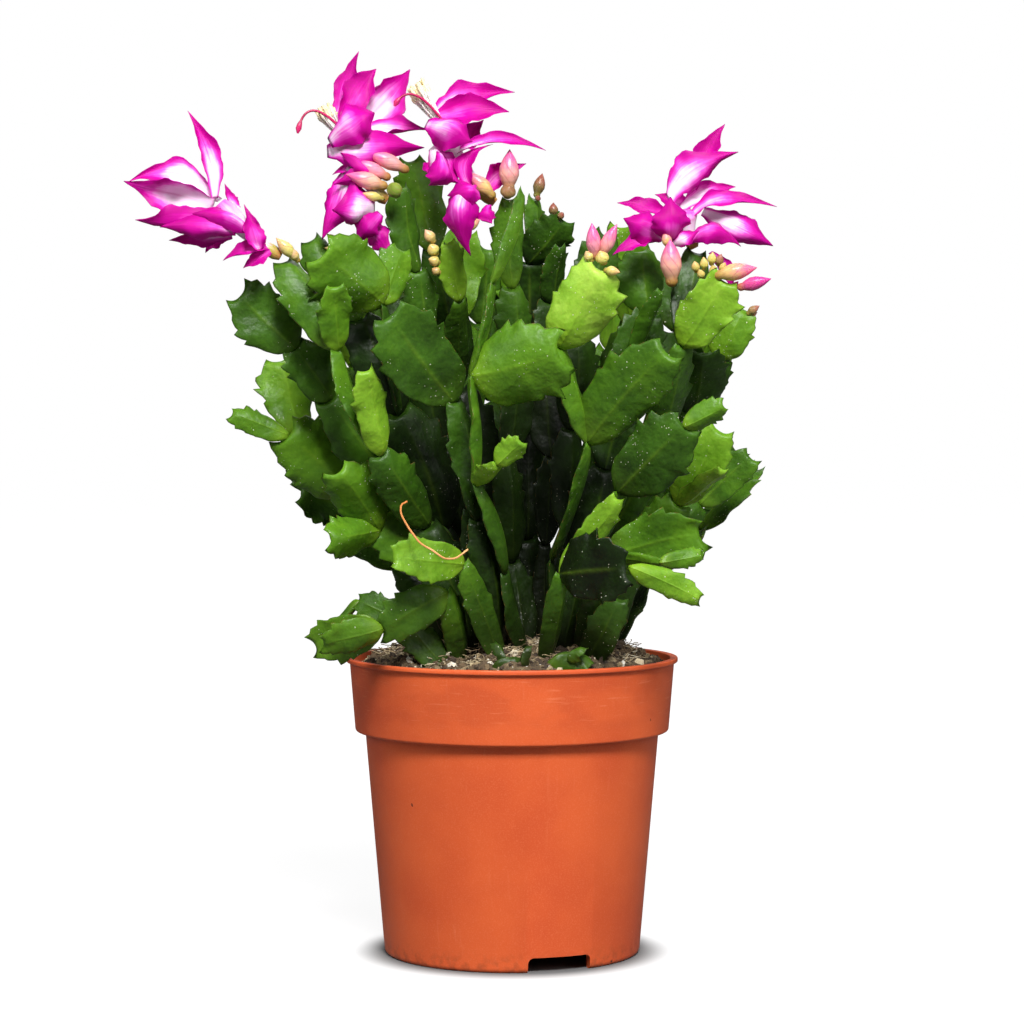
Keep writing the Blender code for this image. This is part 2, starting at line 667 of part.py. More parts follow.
def make_shoots(joints, pads, parts, helpers):
    finish = material("cactus_green", (0.05, 0.16, 0.03), 0.45)
    for shoot, chains in SHOOTS.items():
        stem = None
        for chain in range(len(chains)):
            run = [pad for pad in pads if pad.shoot == shoot and pad.chain == chain]
            if stem is None:
                stem = ribbon(shoot, ribbon_rows(run, joints, 0.0), PAD_THICKNESS, parts, finish)
                continue
            # A branch starts inside its stem's joint, a little thinner, so that the two join cleanly.
            rows = ribbon_rows(run, joints, -BRANCH_OVERLAP)
            branch = ribbon(f"{shoot}_branch_{chain}", rows, BRANCH_THICKNESS, helpers, finish)
            hide_helper(branch)
            add_boolean(stem, f"branch_{chain}", "UNION", branch)


# ---- flowers, stamens, styles and buds ----


def tube_rows(points, radii, sides, reference):
    """Rings of points round a path."""
    rings = []
    for i, point in enumerate(points):
        before, after = points[max(i - 1, 0)], points[min(i + 1, len(points) - 1)]
        along = unit(after - before)
        across = unit(np.cross(along, reference))
        up = np.cross(across, along)
        turns = [2.0 * np.pi * k / sides for k in range(sides)]
        rings.append([point + (across * cos(t) + up * sin(t)) * radii[i] for t in turns])
    return rings


def tube(name, points, radii, sides, collection, finish):
    """A closed tapered tube round a path."""
    rings = tube_rows([np.array(p, float) for p in points], radii, sides, np.array([0.0, 1.0, 0.0]))
    flat = [p for ring in rings for p in ring]
    faces = [tuple(reversed(range(sides))), tuple((len(rings) - 1) * sides + k for k in range(sides))]
    for i in range(len(rings) - 1):
        for k in range(sides):
            a, b = i * sides + k, i * sides + (k + 1) % sides
            faces.append((a, b, b + sides, a + sides))
    obj = mesh_object(name, flat, faces, collection, finish)
    outward(obj)
    return obj


def outward(obj):
    mesh = bmesh.new()
    mesh.from_mesh(obj.data)
    bmesh.ops.recalc_face_normals(mesh, faces=mesh.faces)
    mesh.to_mesh(obj.data)
    mesh.free()


def petal_rows(base, tip, axis, width):
    """A petal arches towards the flower's mouth, turns its face outwards and narrows to its tip."""
    along = tip - base
    length = np.linalg.norm(along)
    arch = axis - unit(along) * axis.dot(unit(along))
    outward_y = 1.0 if tip[1] - base[1] > PETAL_BACK_DEPTH else -1.0
    face = unit(arch) * PETAL_ROLL + np.array([0.0, outward_y, 0.0])
    across = unit(np.cross(unit(along), face))
    rows = []
    for share, part in PETAL_ROWS:
        lift = 4.0 * share * (1.0 - share) * PETAL_ARCH * length
        rows.append((base + along * share + unit(arch) * lift, across, part * width / 2))
    return rows


def flower_origin(flower, joints, places):
    facts = FLOWERS[flower]
    return joints[places[facts["shoot"]][facts["joint"] - 1]] + np.array(facts["offset"], float)


def make_flowers(joints, places, parts, helpers):
    finish = material("flower_magenta", (0.72, 0.02, 0.42), 0.5)
    for flower, facts in FLOWERS.items():
        origin = flower_origin(flower, joints, places)
        path = [origin + np.array(p, float) for p in facts["tube"]]
        body = tube(flower, path, FLOWER_TUBE_RADII, FLOWER_TUBE_SIDES, parts, finish)
        axis = unit(path[3] - path[1])
        for i, (tier, x, y, z, width) in enumerate(facts["petals"]):
            base = path[3] - axis * INNER_TIER_DROP if tier else path[2] - axis * OUTER_TIER_DROP
            rows = petal_rows(base, origin + np.array([x, y, z], float), axis, width)
            petal = ribbon(f"{flower}_petal_{i}", rows, PETAL_THICKNESS, helpers, finish)
            hide_helper(petal)
            add_boolean(body, f"petal_{i}", "UNION", petal)


def make_stamens(joints, places, parts):
    cream = material("stamen_cream", (0.80, 0.74, 0.55), 0.6)
    crimson = material("style_crimson", (0.35, 0.01, 0.10), 0.4)
    for group, finish in ((STAMENS, cream), (STYLES, crimson)):
        for name, (flower, *route, radius) in group.items():
            origin = flower_origin(flower, joints, places)
            path = [origin + np.array(p, float) for p in route]
            tube(name, path, (radius * ROD_START_SHARE, radius, radius), ROD_SIDES, parts, finish)


def make_buds(joints, places, parts, helpers):
    finish = material("bud_pink", (0.70, 0.22, 0.20), 0.5)
    for name, (shoot, joint, offset, buds) in BUDS.items():
        base = joints[places[shoot][joint - 1]] + np.array(offset, float)
        cluster = None
        for i, (x, y, z, radius) in enumerate(buds):
            tip = base + np.array([x, y, z], float)
            path = [base + (tip - base) * share for share, _ in BUD_ROWS]
            radii = [radius * part for _, part in BUD_ROWS]
            if cluster is None:
                cluster = tube(name, path, radii, BUD_SIDES, parts, finish)
                continue
            bud = tube(f"{name}_{i}", path, radii, BUD_SIDES, helpers, finish)
            hide_helper(bud)
            add_boolean(cluster, f"bud_{i}", "UNION", bud)


def main():
    clear_scene()
    parts = new_collection("potted_christmas_cactus")
    cutters = new_collection("cutters_and_joined_pieces")
    make_pot(parts, cutters)
    make_soil(parts)
    joints, pads, roots, places = lay_out()
    joints = settle(joints, pads, roots)
    make_shoots(joints, pads, parts, cutters)
    make_flowers(joints, places, parts, cutters)
    make_stamens(joints, places, parts)
    make_buds(joints, places, parts, cutters)


main()
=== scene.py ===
"""A Christmas cactus in flower, growing in its nursery pot.

Frame: metres, +Z up, origin on the table under the middle of the pot, -Y towards the viewer. Sizes of the pot
and the plant are written in millimetres and turned into metres where a mesh is made.
"""

from math import cos, pi, radians, sin

import bmesh
import bpy
import numpy as np
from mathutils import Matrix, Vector, noise


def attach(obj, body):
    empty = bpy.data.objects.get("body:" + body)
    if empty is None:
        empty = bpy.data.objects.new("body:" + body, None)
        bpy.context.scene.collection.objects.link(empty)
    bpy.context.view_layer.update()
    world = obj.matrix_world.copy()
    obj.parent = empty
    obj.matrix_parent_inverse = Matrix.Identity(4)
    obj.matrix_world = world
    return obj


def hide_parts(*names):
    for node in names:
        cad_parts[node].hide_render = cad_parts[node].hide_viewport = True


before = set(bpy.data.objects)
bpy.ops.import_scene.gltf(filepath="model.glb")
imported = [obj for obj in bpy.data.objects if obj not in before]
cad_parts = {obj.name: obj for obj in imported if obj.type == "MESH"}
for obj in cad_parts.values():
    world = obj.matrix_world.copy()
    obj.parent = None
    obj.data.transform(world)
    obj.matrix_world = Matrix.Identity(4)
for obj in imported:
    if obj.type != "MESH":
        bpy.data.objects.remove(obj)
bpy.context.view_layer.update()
MM = 0.001

# ---- the table, the light and the viewer ----
# The plant stands on a plain white table in a tent of white cloth. One strong lamp hangs high before it, and
# weaker ones stand on the left, on the right and behind. The table glows a little, except under the pot and
# just around its foot, where a contact shadow is painted into the glow.

WHITE = (1.0, 1.0, 1.0, 1.0)
TABLE_SIZE = 12.0
TABLE_GREY = (0.15, 0.15, 0.15, 1.0)
TABLE_GLOW, GLOW_RISE = 0.88, 0.10
GLOW_START, GLOW_END = 140.0, 500.0
# The glow fades out between these two distances from the middle, in mm: a painted contact shadow under and
# around the pot.
SHADE_START, SHADE_END = 45.0, 60.0
TENT_GLOW = 0.075
LAMP_AIM = (0.0, 0.0, 0.17)
# Each lamp is its place, its width and height, and its power in watts.
LAMPS = {
    "lamp_front": ((0.12, -1.05, 1.15), (0.4, 0.4), 32.0),
    "lamp_left": ((-1.0, -0.7, 0.9), (0.6, 0.8), 6.0),
    "lamp_right": ((1.0, -0.6, 0.7), (0.6, 0.8), 4.5),
    "lamp_back": ((0.2, 1.0, 1.1), (0.8, 0.5), 4.0),
}
VIEWER_PLACE = (0.0, -1.093, 0.2005)
VIEWER_TILT = 2.16
VIEWER_LENS, VIEWER_FILM = 106.3, 36.0
VIEWER_NEAR, VIEWER_FAR = 0.05, 20.0


def paint(red, green, blue):
    """A screen colour, 0 to 255, as the linear colour that a shader takes."""
    parts = [c / 255.0 for c in (red, green, blue)]
    return tuple(c / 12.92 if c <= 0.04045 else ((c + 0.055) / 1.055) ** 2.4 for c in parts) + (1.0,)


class Field:
    """A number, colour or arrow somewhere in a node tree, so that a pattern or a shape reads as a sum."""

    def __init__(self, tree, socket):
        self.tree, self.socket = tree, socket

    def maths(self, operation, *others):
        made = self.tree.nodes.new("ShaderNodeMath")
        made.operation = operation
        for slot, value in zip(made.inputs, (self, *others)):
            feed(self.tree, slot, value)
        return Field(self.tree, made.outputs[0])

    def __add__(self, other):
        return self.maths("ADD", other)

    def __sub__(self, other):
        return self.maths("SUBTRACT", other)

    def __rsub__(self, other):
        return self.maths("MULTIPLY_ADD", -1.0, other)

    def __mul__(self, other):
        return self.maths("MULTIPLY", other)

    def __truediv__(self, other):
        return self.maths("DIVIDE", other)

    def __pow__(self, other):
        return self.maths("POWER", other)

    __radd__ = __add__
    __rmul__ = __mul__

    def size(self):
        return self.maths("ABSOLUTE")

    def clamped(self):
        return self.maths("MAXIMUM", 0.0).maths("MINIMUM", 1.0)

    def between(self, low, high):
        """0 below low, 1 above high, and smooth from one to the other."""
        made = self.tree.nodes.new("ShaderNodeMapRange")
        made.interpolation_type = "SMOOTHSTEP"
        feed(self.tree, made.inputs["Value"], self)
        made.inputs["From Min"].default_value = low
        made.inputs["From Max"].default_value = high
        return Field(self.tree, made.outputs["Result"])


def feed(tree, slot, value):
    if isinstance(value, Field):
        tree.links.new(value.socket, slot)
    else:
        slot.default_value = value


def feed_all(tree, node, **inputs):
    """Feeds a node's inputs by name, with _ for a space."""
    for key, value in inputs.items():
        feed(tree, node.inputs[key.replace("_", " ")], value)


def make(tree, kind, output=0, settings=None, **inputs):
    """Adds a node, feeds its inputs and gives one of its outputs."""
    made = tree.nodes.new(kind)
    for key, value in (settings or {}).items():
        setattr(made, key, value)
    feed_all(tree, made, **inputs)
    return Field(tree, made.outputs[output])


def arrow(tree, x, y, z):
    return make(tree, "ShaderNodeCombineXYZ", X=x, Y=y, Z=z)


def arrow_maths(operation, first, second):
    made = first.tree.nodes.new("ShaderNodeVectorMath")
    made.operation = operation
    feed(first.tree, made.inputs[0], first)
    feed(first.tree, made.inputs[3 if operation == "SCALE" else 1], second)
    return Field(first.tree, made.outputs[0])


def places(tree):
    """The surface's own place, in millimetres."""
    return arrow_maths("SCALE", make(tree, "ShaderNodeTexCoord", "Object"), 1.0 / MM)


def reach_of(where):
    """How long an arrow is."""
    return make(where.tree, "ShaderNodeVectorMath", "Value", {"operation": "LENGTH"}, Vector=where)


def height_of(where):
    return make(where.tree, "ShaderNodeSeparateXYZ", "Z", Vector=where)


def new_material(name, **finish):
    """A material; what is the same all over the surface is set on the shader's own sockets."""
    made = bpy.data.materials.new(name)
    made.use_nodes = True
    shader = made.node_tree.nodes["Principled BSDF"]
    feed_all(made.node_tree, shader, **finish)
    return made, made.node_tree, shader


def dress(mesh, material):
    mesh.materials.clear()
    mesh.materials.append(material)


def add_object(name, content):
    made = bpy.data.objects.new(name, content)
    bpy.context.scene.collection.objects.link(made)
    return made


def add_lamp(name, place, size, power):
    lamp = bpy.data.lights.new(name, "AREA")
    lamp.shape = "RECTANGLE"
    lamp.size, lamp.size_y = size
    lamp.energy = power
    holder = add_object(name, lamp)
    holder.location = place
    holder.rotation_euler = (Vector(LAMP_AIM) - Vector(place)).to_track_quat("-Z", "Y").to_euler()


def set_table():
    mesh = bpy.data.meshes.new("table")
    half = TABLE_SIZE / 2
    corners = [(-half, -half, 0), (half, -half, 0), (half, half, 0), (-half, half, 0)]
    mesh.from_pydata(corners, [], [(0, 1, 2, 3)])
    white, tree, shader = new_material(
        "white_table", Base_Color=TABLE_GREY, Roughness=0.9, Emission_Color=WHITE
    )
    far = reach_of(places(tree))
    # The glow fades to nothing under and around the pot's foot: a painted contact shadow.
    glow = (far.between(GLOW_START, GLOW_END) * GLOW_RISE + TABLE_GLOW) * far.between(SHADE_START, SHADE_END)
    feed_all(tree, shader, Emission_Strength=glow * make(tree, "ShaderNodeLightPath", "Is Camera Ray"))
    dress(mesh, white)
    add_object("table", mesh)


def set_light():
    world = bpy.data.worlds.new("white_tent")
    bpy.context.scene.world = world
    world.use_nodes = True
    tree = world.node_tree
    seen = make(tree, "ShaderNodeLightPath", "Is Camera Ray")
    feed_all(tree, tree.nodes["Background"], Color=WHITE, Strength=seen * (1.0 - TENT_GLOW) + TENT_GLOW)
    for name, facts in LAMPS.items():
        add_lamp(name, *facts)
    bpy.context.scene.view_settings.view_transform = "Standard"


def set_viewer():
    eye = bpy.data.cameras.new("viewer")
    eye.lens, eye.sensor_width = VIEWER_LENS, VIEWER_FILM
    eye.clip_start, eye.clip_end = VIEWER_NEAR, VIEWER_FAR
    holder = add_object("viewer", eye)
    holder.location = VIEWER_PLACE
    holder.rotation_euler = (radians(90.0 - VIEWER_TILT), 0.0, 0.0)
    bpy.context.scene.camera = holder


set_table()
set_light()
set_viewer()

# ---- the pot ----
# A thin nursery pot, injection moulded in terracotta-coloured plastic: a rolled lip, a deep band that keeps
# the rim stiff, a tapered wall, and a foot ring that is notched so that water can leave. Handling and damp
# soil have scuffed and smudged it.

POT_HEIGHT = 107.0
LIP_RADIUS = 60.0
LIP_DEPTH = 1.6
BAND_TOP_RADIUS = 58.7
BAND_FOOT_RADIUS = 56.7
BAND_FOOT_Z = 80.5
WALL_TOP_RADIUS = 53.1
FOOT_RADIUS = 46.2
FOOT_ROUND = 1.4
POT_WALL = 1.5
FLOOR_Z = 5.6
FLOOR_THICKNESS = 1.8
FOOT_DISC_RADIUS = 10.0
DRAIN_RADIUS, DRAIN_CIRCLE, DRAIN_COUNT = 4.0, 28.0, 6
NOTCH_WIDTH, NOTCH_HEIGHT, NOTCH_ANGLE, NOTCH_COUNT = 23.5, 5.4, -68.4, 3
NOTCH_DEPTH, NOTCH_INSET, NOTCH_CORNER = 12.0, 2.0, 2.0
DRILL_DEPTH = 8.0
POT_STEPS, DRILL_STEPS = 144, 32
POT_CREASE = 38.0
POT_ORANGE = paint(220, 96, 48)
POT_DEEP = paint(204, 82, 41)
POT_SCUFF = paint(234, 140, 100)
POT_DIRT = paint(70, 42, 30)
POT_SMUDGE = paint(158, 52, 30)


def mixed(amount, first, second):
    """One colour turning into another."""
    made = amount.tree.nodes.new("ShaderNodeMix")
    made.data_type = "RGBA"
    feed(amount.tree, made.inputs[0], amount)
    feed(amount.tree, made.inputs[6], first)
    feed(amount.tree, made.inputs[7], second)
    return Field(amount.tree, made.outputs[2])


def shades(amount, stops):
    """A colour read from a row of (place, colour) stops."""
    made = amount.tree.nodes.new("ShaderNodeValToRGB")
    feed(amount.tree, made.inputs[0], amount)
    row = made.color_ramp.elements
    while len(row) < len(stops):
        row.new(1.0)
    for element, (place, colour) in zip(row, stops):
        element.position = place
        element.color = colour
    return Field(amount.tree, made.outputs[0])


def cloudy(where, scale, detail=3.0, rough=0.5):
    return make(where.tree, "ShaderNodeTexNoise", Vector=where, Scale=scale, Detail=detail, Roughness=rough)


def relief(height, strength, distance):
    return make(height.tree, "ShaderNodeBump", "Normal", Strength=strength, Distance=distance, Height=height)


def group(name, inputs, output):
    """An empty shader group with number or arrow inputs and one output."""
    tree = bpy.data.node_groups.new(name, "ShaderNodeTree")
    for label, kind, value in inputs:
        socket = tree.interface.new_socket(label, in_out="INPUT", socket_type=kind)
        if value is not None:
            socket.default_value = value
    tree.interface.new_socket(output, in_out="OUTPUT", socket_type="NodeSocketFloat")
    entry, leave = tree.nodes.new("NodeGroupInput"), tree.nodes.new("NodeGroupOutput")
    fields = [Field(tree, entry.outputs[label]) for label, _, _ in inputs]
    return tree, fields, leave


def use_group(tree, shared, **inputs):
    return make(tree, "ShaderNodeGroup", settings={"node_tree": shared}, **inputs)


def speck_group():
    """Small scattered grains. Spacing is in millimetres, Share is how many of the places hold a grain."""
    inputs = (
        ("Place", "NodeSocketVector", None),
        ("Spacing", "NodeSocketFloat", 2.0),
        ("Share", "NodeSocketFloat", 0.2),
        ("Size", "NodeSocketFloat", 0.2),
    )
    tree, (place, spacing, share, size), leave = group("grains", inputs, "Mask")
    wobble = cloudy(place, 1.3, 2.0)
    cells = tree.nodes.new("ShaderNodeTexVoronoi")
    feed_all(tree, cells, Vector=place, Scale=spacing**-1.0)
    near = Field(tree, cells.outputs["Distance"]) + (wobble - 0.5) * 0.2
    there = make(tree, "ShaderNodeSeparateColor", "Red", Color=Field(tree, cells.outputs["Color"]))
    small = there / share
    grain = size.maths("GREATER_THAN", near + small * size * 0.3) * share.maths("GREATER_THAN", there)
    feed(tree, leave.inputs[0], grain)
    return tree


grains = speck_group()


def pot_plastic():
    material, tree, shader = new_material("terracotta_plastic", Specular_IOR_Level=0.3)
    where = places(tree)
    height = height_of(where)
    broad = cloudy(where, 0.03, 4.0)
    fine = cloudy(where, 2.2, 2.0)
    colour = mixed(broad.between(0.3, 0.75), POT_ORANGE, POT_DEEP)
    colour = mixed(fine.between(0.45, 0.8) * 0.22, colour, POT_SCUFF)
    streaks = cloudy(arrow_maths("MULTIPLY", where, (0.9, 0.9, 0.05)), 0.5, 4.0).between(0.62, 0.8)
    colour = mixed(streaks * 0.16, colour, POT_SCUFF)
    low = 1.0 - height.between(2.0, 45.0)
    dirt = use_group(tree, grains, Place=where, Spacing=7.0, Share=low * 0.16 + 0.02, Size=0.075)
    pale = use_group(tree, grains, Place=where, Spacing=4.3, Share=0.10, Size=0.07)
    colour = mixed(pale * 0.55, colour, POT_SCUFF)
    colour = mixed(dirt * 0.8, colour, POT_DIRT)
    band = height.between(83.0, 90.0)
    smudge = cloudy(arrow_maths("MULTIPLY", where, (1.0, 1.0, 1.8)), 0.035).between(0.44, 0.6) * band
    colour = mixed(smudge * 0.22, colour, POT_SMUDGE)
    rubbed = cloudy(arrow_maths("MULTIPLY", where, (0.10, 0.10, 1.4)), 1.0).between(0.60, 0.72) * band
    colour = mixed(rubbed * 0.28, colour, POT_SCUFF)
    # The pot is darker in cloudy patches towards its foot, up to about 9 mm.
    foot_darkening = (1.0 - height.between(0.5, 9.0)) * cloudy(where, 0.35, 4.0).between(0.4, 0.7)
    colour = mixed(foot_darkening * 0.35, colour, POT_DIRT)
    hills = fine * 0.6 + dirt * 2.0 + streaks * 0.3
    rough = 0.38 + broad * 0.16 + dirt * 0.3
    feed_all(tree, shader, Base_Color=colour, Roughness=rough, Normal=relief(hills, 0.25, 0.00025))
    return material


def wall_radius(z):
    return FOOT_RADIUS + (WALL_TOP_RADIUS - FOOT_RADIUS) * z / BAND_FOOT_Z


def inner_radius(z):
    if z < BAND_FOOT_Z + POT_WALL:
        return wall_radius(z) - POT_WALL
    share = (z - BAND_FOOT_Z) / (POT_HEIGHT - BAND_FOOT_Z)
    return BAND_FOOT_RADIUS + (BAND_TOP_RADIUS - BAND_FOOT_RADIUS) * share - POT_WALL


def rounded(profile, radii, steps=4):
    """The profile with its corners turned into short arcs."""
    points = [np.array(p, float) for p in profile]
    made = []
    for i, (point, radius) in enumerate(zip(points, radii)):
        if radius == 0.0:
            made.append(tuple(point))
            continue
        before, after = points[i - 1] - point, points[(i + 1) % len(points)] - point
        start = point + before / np.linalg.norm(before) * radius
        end = point + after / np.linalg.norm(after) * radius
        for k in range(steps + 1):
            t = k / steps
            made.append(tuple(start * (1 - t) ** 2 + point * 2 * t * (1 - t) + end * t**2))
    return made


def turned(name, profile, steps):
    """A profile of (radius, z) turned about Z; it stays open between its two points on the axis."""
    count = len(profile)
    axis = [i for i, (radius, _) in enumerate(profile) if radius == 0.0]
    edges = [(i, (i + 1) % count) for i in range(count) if not (i in axis and (i + 1) % count in axis)]
    mesh = bpy.data.meshes.new(name)
    mesh.from_pydata([(radius * MM, 0.0, z * MM) for radius, z in profile], edges, [])
    made = add_object(name, mesh)
    screw = made.modifiers.new("turn", "SCREW")
    screw.steps = screw.render_steps = steps
    screw.use_merge_vertices = True
    screw.merge_threshold = 0.00001
    return made


def settled_mesh(made):
    """The object's modifiers worked out into a plain mesh."""
    graph = bpy.context.evaluated_depsgraph_get()
    mesh = bpy.data.meshes.new_from_object(
        made.evaluated_get(graph), preserve_all_data_layers=True, depsgraph=graph
    )
    made.modifiers.clear()
    old = made.data
    made.data = mesh
    bpy.data.meshes.remove(old)
    return made


def cut_away(made, name, mesh, place, turn=0.0):
    cutter = add_object(name, mesh)
    cutter.location = Vector(place) * MM
    cutter.rotation_euler = (0.0, 0.0, turn)
    cut = made.modifiers.new(name, "BOOLEAN")
    cut.operation = "DIFFERENCE"
    cut.solver = "EXACT"
    cut.object = cutter
    return cutter


def mesh_of(name, shape):
    mesh = bpy.data.meshes.new(name)
    shape.to_mesh(mesh)
    shape.free()
    return mesh


def notch_block(name):
    """What one notch takes out of the foot ring: a block with corners rounded along the ring's radius."""
    shape = bmesh.new()
    bmesh.ops.create_cube(shape, size=1.0)
    bmesh.ops.scale(shape, vec=Vector((NOTCH_DEPTH, NOTCH_WIDTH, 2.0 * NOTCH_HEIGHT)) * MM, verts=shape.verts)
    along = [e for e in shape.edges if abs(e.verts[0].co.x - e.verts[1].co.x) > 0.5 * NOTCH_DEPTH * MM]
    bmesh.ops.bevel(shape, geom=along, offset=NOTCH_CORNER * MM, segments=5, affect="EDGES", profile=0.5)
    return mesh_of(name, shape)


def drain_drum(name):
    shape = bmesh.new()
    radius = DRAIN_RADIUS * MM
    bmesh.ops.create_cone(
        shape, cap_ends=True, segments=DRILL_STEPS, radius1=radius, radius2=radius, depth=DRILL_DEPTH * MM
    )
    return mesh_of(name, shape)


def hand_over(piece, node=None):
    """The piece stands still with the pot, and is what shows of a node."""
    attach(piece, "root")
    if node:
        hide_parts(node)


def make_pot():
    step_z, floor_top = BAND_FOOT_Z + POT_WALL, FLOOR_Z + FLOOR_THICKNESS
    ring_inner = FOOT_RADIUS - FOOT_ROUND - POT_WALL
    corners = [
        (LIP_RADIUS, POT_HEIGHT, 0.5),
        (LIP_RADIUS, POT_HEIGHT - LIP_DEPTH, 0.5),
        (BAND_TOP_RADIUS, POT_HEIGHT - LIP_DEPTH - 0.2, 0.3),
        (BAND_FOOT_RADIUS, BAND_FOOT_Z, 0.9),
        (WALL_TOP_RADIUS, BAND_FOOT_Z - 0.3, 0.8),
        (FOOT_RADIUS, 0.0, 1.8),
        (ring_inner, 0.0, 0.4),
        (ring_inner, FLOOR_Z, 0.5),
        (FOOT_DISC_RADIUS + 0.8, FLOOR_Z, 0.5),
        (FOOT_DISC_RADIUS, 0.0, 0.3),
        (0.0, 0.0, 0.0),
        (0.0, floor_top, 0.0),
        (inner_radius(floor_top), floor_top, 1.0),
        (inner_radius(BAND_FOOT_Z), BAND_FOOT_Z, 0.6),
        (inner_radius(step_z), step_z + 0.3, 0.6),
        (inner_radius(POT_HEIGHT), POT_HEIGHT, 0.5),
    ]
    profile = rounded([(radius, z) for radius, z, _ in corners], [bend for _, _, bend in corners])
    pot = turned("pot_shell", profile, POT_STEPS)
    cutters = []
    notch_circle = FOOT_RADIUS - NOTCH_INSET
    for k in range(NOTCH_COUNT):
        angle = radians(NOTCH_ANGLE + 360.0 * k / NOTCH_COUNT)
        place = (notch_circle * cos(angle), notch_circle * sin(angle), 0.0)
        cutters.append(cut_away(pot, f"notch_{k}", notch_block(f"notch_{k}"), place, angle))
    for k in range(DRAIN_COUNT):
        angle = radians(360.0 * (k + 0.5) / DRAIN_COUNT)
        place = (DRAIN_CIRCLE * cos(angle), DRAIN_CIRCLE * sin(angle), floor_top)
        cutters.append(cut_away(pot, f"drain_{k}", drain_drum(f"drain_{k}"), place))
    settled_mesh(pot)
    for cutter in cutters:
        bpy.data.objects.remove(cutter, do_unlink=True)
    pot.data.shade_smooth()
    pot.data.set_sharp_from_angle(angle=radians(POT_CREASE))
    dress(pot.data, pot_plastic())
    hand_over(pot, "pot")


make_pot()

# ---- the soil ----
# Dry peat with bits of bark, pale root hairs and white grains, crusted on a mound that stands a little above
# the rim in the middle. The crust is one lumpy body; loose crumbs and fibres lie strewn over it.

SOIL_EDGE_Z = 103.0
SOIL_RISE = 7.0
SOIL_GAP = 0.35
SOIL_RINGS, SOIL_STEPS = 22, 120
BIG_LUMP, SMALL_LUMP, CRUST_LIFT = 4.0, 2.2, 2.0
LUMP_MARGIN = 4.0
CRUMB_COUNT, CRUMB_SIZE = 4850, 1.15
FIBRE_COUNT, FIBRE_LENGTH, FIBRE_RADIUS = 1780, 9.0, 0.16
PEAT_DARK = paint(58, 46, 36)
PEAT_BROWN = paint(106, 87, 62)
PEAT_PALE = paint(164, 145, 110)
PEAT_STRAW = paint(198, 182, 150)
GRAIN_WHITE = paint(232, 228, 215)


def soil_height(x, y):
    share = min(1.0, (x * x + y * y) / inner_radius(SOIL_EDGE_Z) ** 2)
    return SOIL_EDGE_Z + SOIL_RISE * (1.0 - share)


def soil_crust():
    material, tree, shader = new_material("peat_crust", Roughness=0.95)
    where = places(tree)
    lumps = cloudy(where, 0.45, 6.0, 0.65)
    specks = use_group(tree, grains, Place=where, Spacing=1.6, Share=0.14, Size=0.3)
    colour = shades(lumps, [(0.3, PEAT_DARK), (0.52, PEAT_BROWN), (0.75, PEAT_PALE)])
    hills = cloudy(where, 1.6, 5.0, 0.7)
    colour = mixed(specks * 0.6, colour, GRAIN_WHITE)
    feed_all(tree, shader, Base_Color=colour, Normal=relief(hills, 0.9, 0.0012))
    return material


def attributes(tree, *labels):
    """What a mesh holds under each label, as shader numbers."""
    return [make(tree, "ShaderNodeAttribute", "Fac", {"attribute_name": label}) for label in labels]


def crumb_skin():
    material, tree, shader = new_material("peat_crumbs", Roughness=0.92)
    (tone,) = attributes(tree, "tone")
    grain = cloudy(places(tree), 1.8, 4.0, 0.6)
    stops = [(0.0, PEAT_DARK), (0.45, PEAT_BROWN), (0.72, PEAT_PALE), (0.9, PEAT_STRAW), (1.0, GRAIN_WHITE)]
    colour = shades(tone + (grain - 0.5) * 0.35, stops)
    feed_all(tree, shader, Base_Color=colour, Normal=relief(grain, 0.7, 0.0006))
    return material


def make_soil():
    bottom = FLOOR_Z + FLOOR_THICKNESS + SOIL_GAP
    edge = inner_radius(SOIL_EDGE_Z) - SOIL_GAP
    step = BAND_FOOT_Z + POT_WALL + 2.0
    across = [edge * k / SOIL_RINGS for k in range(1, SOIL_RINGS + 1)]
    profile = [
        (inner_radius(step) - SOIL_GAP - 0.6, step),
        (inner_radius(BAND_FOOT_Z) - SOIL_GAP, BAND_FOOT_Z),
        (inner_radius(bottom) - SOIL_GAP, bottom),
        (0.0, bottom),
        (0.0, SOIL_EDGE_Z + SOIL_RISE),
        *((radius, soil_height(radius, 0.0)) for radius in across),
    ]
    soil = settled_mesh(turned("soil_crust", profile, SOIL_STEPS))
    for vertex in soil.data.vertices:
        x, y, z = vertex.co / MM
        if z < SOIL_EDGE_Z - 0.5:
            continue
        inside = min(1.0, max(0.0, (edge - (x * x + y * y) ** 0.5) / LUMP_MARGIN))
        lump = noise.noise(Vector((x, y, 0.0)) * 0.09) * BIG_LUMP
        lump += noise.noise(Vector((x, y, 3.0)) * 0.3) * SMALL_LUMP + CRUST_LIFT
        vertex.co.z += lump * inside * MM
    soil.data.shade_smooth()
    dress(soil.data, soil_crust())
    hand_over(soil, "soil")
    return soil


def new_shape_tree(name, inputs):
    """A geometry node tree with named number inputs after its geometry."""
    tree = bpy.data.node_groups.new(name, "GeometryNodeTree")
    tree.interface.new_socket("Geometry", in_out="INPUT", socket_type="NodeSocketGeometry")
    for label, kind, value in inputs:
        tree.interface.new_socket(label, in_out="INPUT", socket_type=kind).default_value = value
    tree.interface.new_socket("Geometry", in_out="OUTPUT", socket_type="NodeSocketGeometry")
    entry, leave = tree.nodes.new("NodeGroupInput"), tree.nodes.new("NodeGroupOutput")
    return tree, {s.name: Field(tree, s) for s in entry.outputs if s.name}, leave.inputs[0]


def grow_nodes(made, tree, **values):
    """Puts a shape tree on an object, sets its inputs by identifier and settles the result into a mesh."""
    modifier = made.modifiers.new("grow", "NODES")
    modifier.node_group = tree
    for item in tree.interface.items_tree:
        label = item.name.replace(" ", "_").lower()
        if item.in_out == "INPUT" and label in values:
            modifier[item.identifier] = values[label]
    bpy.context.view_layer.update()
    return settled_mesh(made)


